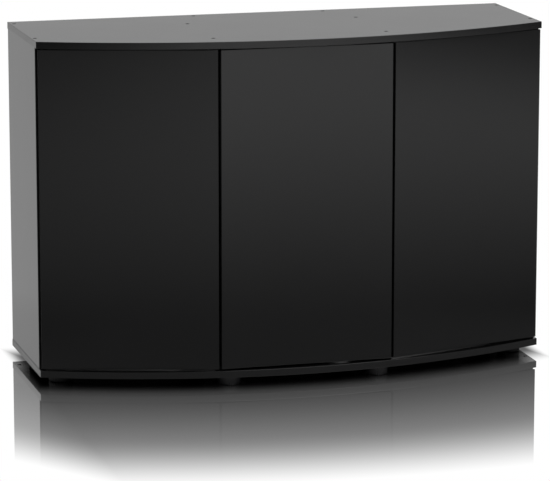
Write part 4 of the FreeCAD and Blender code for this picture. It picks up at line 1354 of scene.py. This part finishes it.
def studio_camera():
    settings = bpy.context.scene.cabinet_stage
    data = bpy.data.cameras.new("studio_camera")
    data.lens = settings.lens
    data.clip_end = settings.floor_radius * 2
    camera = bpy.data.objects.new("studio_camera", data)
    centre = middle(CAD_BOX)
    flat = math.cos(settings.elevation)
    way = Vector((math.sin(settings.azimuth) * flat, -math.cos(settings.azimuth) * flat,
                  math.sin(settings.elevation)))
    camera.location = centre + way * settings.distance
    camera.rotation_euler = (math.pi / 2 - settings.tilt, 0, -settings.heading)
    bpy.context.scene.collection.objects.link(camera)
    bpy.context.scene.camera = camera


# ---- operators ----


class CabinetBoards(bpy.types.Operator):
    """Build the top and bottom boards, the uprights, the back board and the shelf"""
    bl_idname = "cabinet.boards"
    bl_label = "Boards"

    def execute(self, context):
        bowed_board("top", "top_screws", True)
        bowed_board("bottom", "bottom_screws", False)
        for side, sign in (("left", -1), ("right", 1)):
            standing_board(f"{side}_side_panel")
            partition(side, sign)
        standing_board("back_board")
        back_rails()
        upright_bands()
        shelf()
        shelf_pins()
        return {"FINISHED"}


class CabinetScrews(bpy.types.Operator):
    """Build the board screws and the dowels"""
    bl_idname = "cabinet.screws"
    bl_label = "Screws and dowels"

    def execute(self, context):
        board_screws("top_screws", "top_board_screws", True)
        board_screws("bottom_screws", "bottom_board_screws", False)
        dowels()
        return {"FINISHED"}


class CabinetDoors(bpy.types.Operator):
    """Build the three doors with their banding and strike plates"""
    bl_idname = "cabinet.doors"
    bl_label = "Doors"

    def execute(self, context):
        for name in HINGE_SIDES:
            door(name)
            strike_plate(name)
        return {"FINISHED"}


class CabinetHinges(bpy.types.Operator):
    """Build the concealed hinges: cups, arms, pins, plates and their screws"""
    bl_idname = "cabinet.hinges"
    bl_label = "Hinges"

    def execute(self, context):
        for name in HINGE_SIDES:
            for level in LEVELS:
                hinge_cup(name, level)
                hinge_arm(name, level)
            hinge_pins(name)
            cup_screws(name)
        mounting_plates()
        plate_screws()
        return {"FINISHED"}


class CabinetLatches(bpy.types.Operator):
    """Build the push latches and their plungers"""
    bl_idname = "cabinet.latches"
    bl_label = "Latches"

    def execute(self, context):
        for name in HINGE_SIDES:
            latch(name)
        return {"FINISHED"}


class CabinetFeet(bpy.types.Operator):
    """Build the levelling feet and their sockets"""
    bl_idname = "cabinet.feet"
    bl_label = "Feet"

    def execute(self, context):
        for name in FEET:
            foot(name)
        foot_sockets()
        return {"FINISHED"}


class CabinetStage(bpy.types.Operator):
    """Set up the floor, the light and the camera"""
    bl_idname = "cabinet.stage"
    bl_label = "Stage"

    def execute(self, context):
        context.scene.view_settings.view_transform = "Standard"
        studio_world()
        studio_floor()
        studio_lamp()
        studio_camera()
        return {"FINISHED"}


OPERATORS = (CabinetBoards, CabinetScrews, CabinetDoors, CabinetHinges, CabinetLatches, CabinetFeet,
             CabinetStage)


class CabinetPanel(bpy.types.Panel):
    """The cabinet's settings and builders"""
    bl_idname = "VIEW3D_PT_cabinet"
    bl_label = "Bow-front cabinet"
    bl_space_type = "VIEW_3D"
    bl_region_type = "UI"
    bl_category = "Cabinet"

    def draw(self, context):
        for operator in OPERATORS:
            self.layout.operator(operator.bl_idname)
        for group, settings in SETTINGS.items():
            box = self.layout.box()
            for setting in settings.__annotations__:
                box.prop(getattr(context.scene, group), setting)


def register():
    for group, settings in SETTINGS.items():
        bpy.utils.register_class(settings)
        setattr(bpy.types.Scene, group, PointerProperty(type=settings))
    for operator in OPERATORS:
        bpy.utils.register_class(operator)
    bpy.utils.register_class(CabinetPanel)


def unregister():
    bpy.utils.unregister_class(CabinetPanel)
    for operator in reversed(OPERATORS):
        bpy.utils.unregister_class(operator)
    for group, settings in SETTINGS.items():
        delattr(bpy.types.Scene, group)
        bpy.utils.unregister_class(settings)


def main():
    register()
    bpy.ops.cabinet.boards()
    bpy.ops.cabinet.screws()
    bpy.ops.cabinet.doors()
    bpy.ops.cabinet.hinges()
    bpy.ops.cabinet.latches()
    bpy.ops.cabinet.feet()
    bpy.ops.cabinet.stage()


if __name__ == "__main__":
    main()
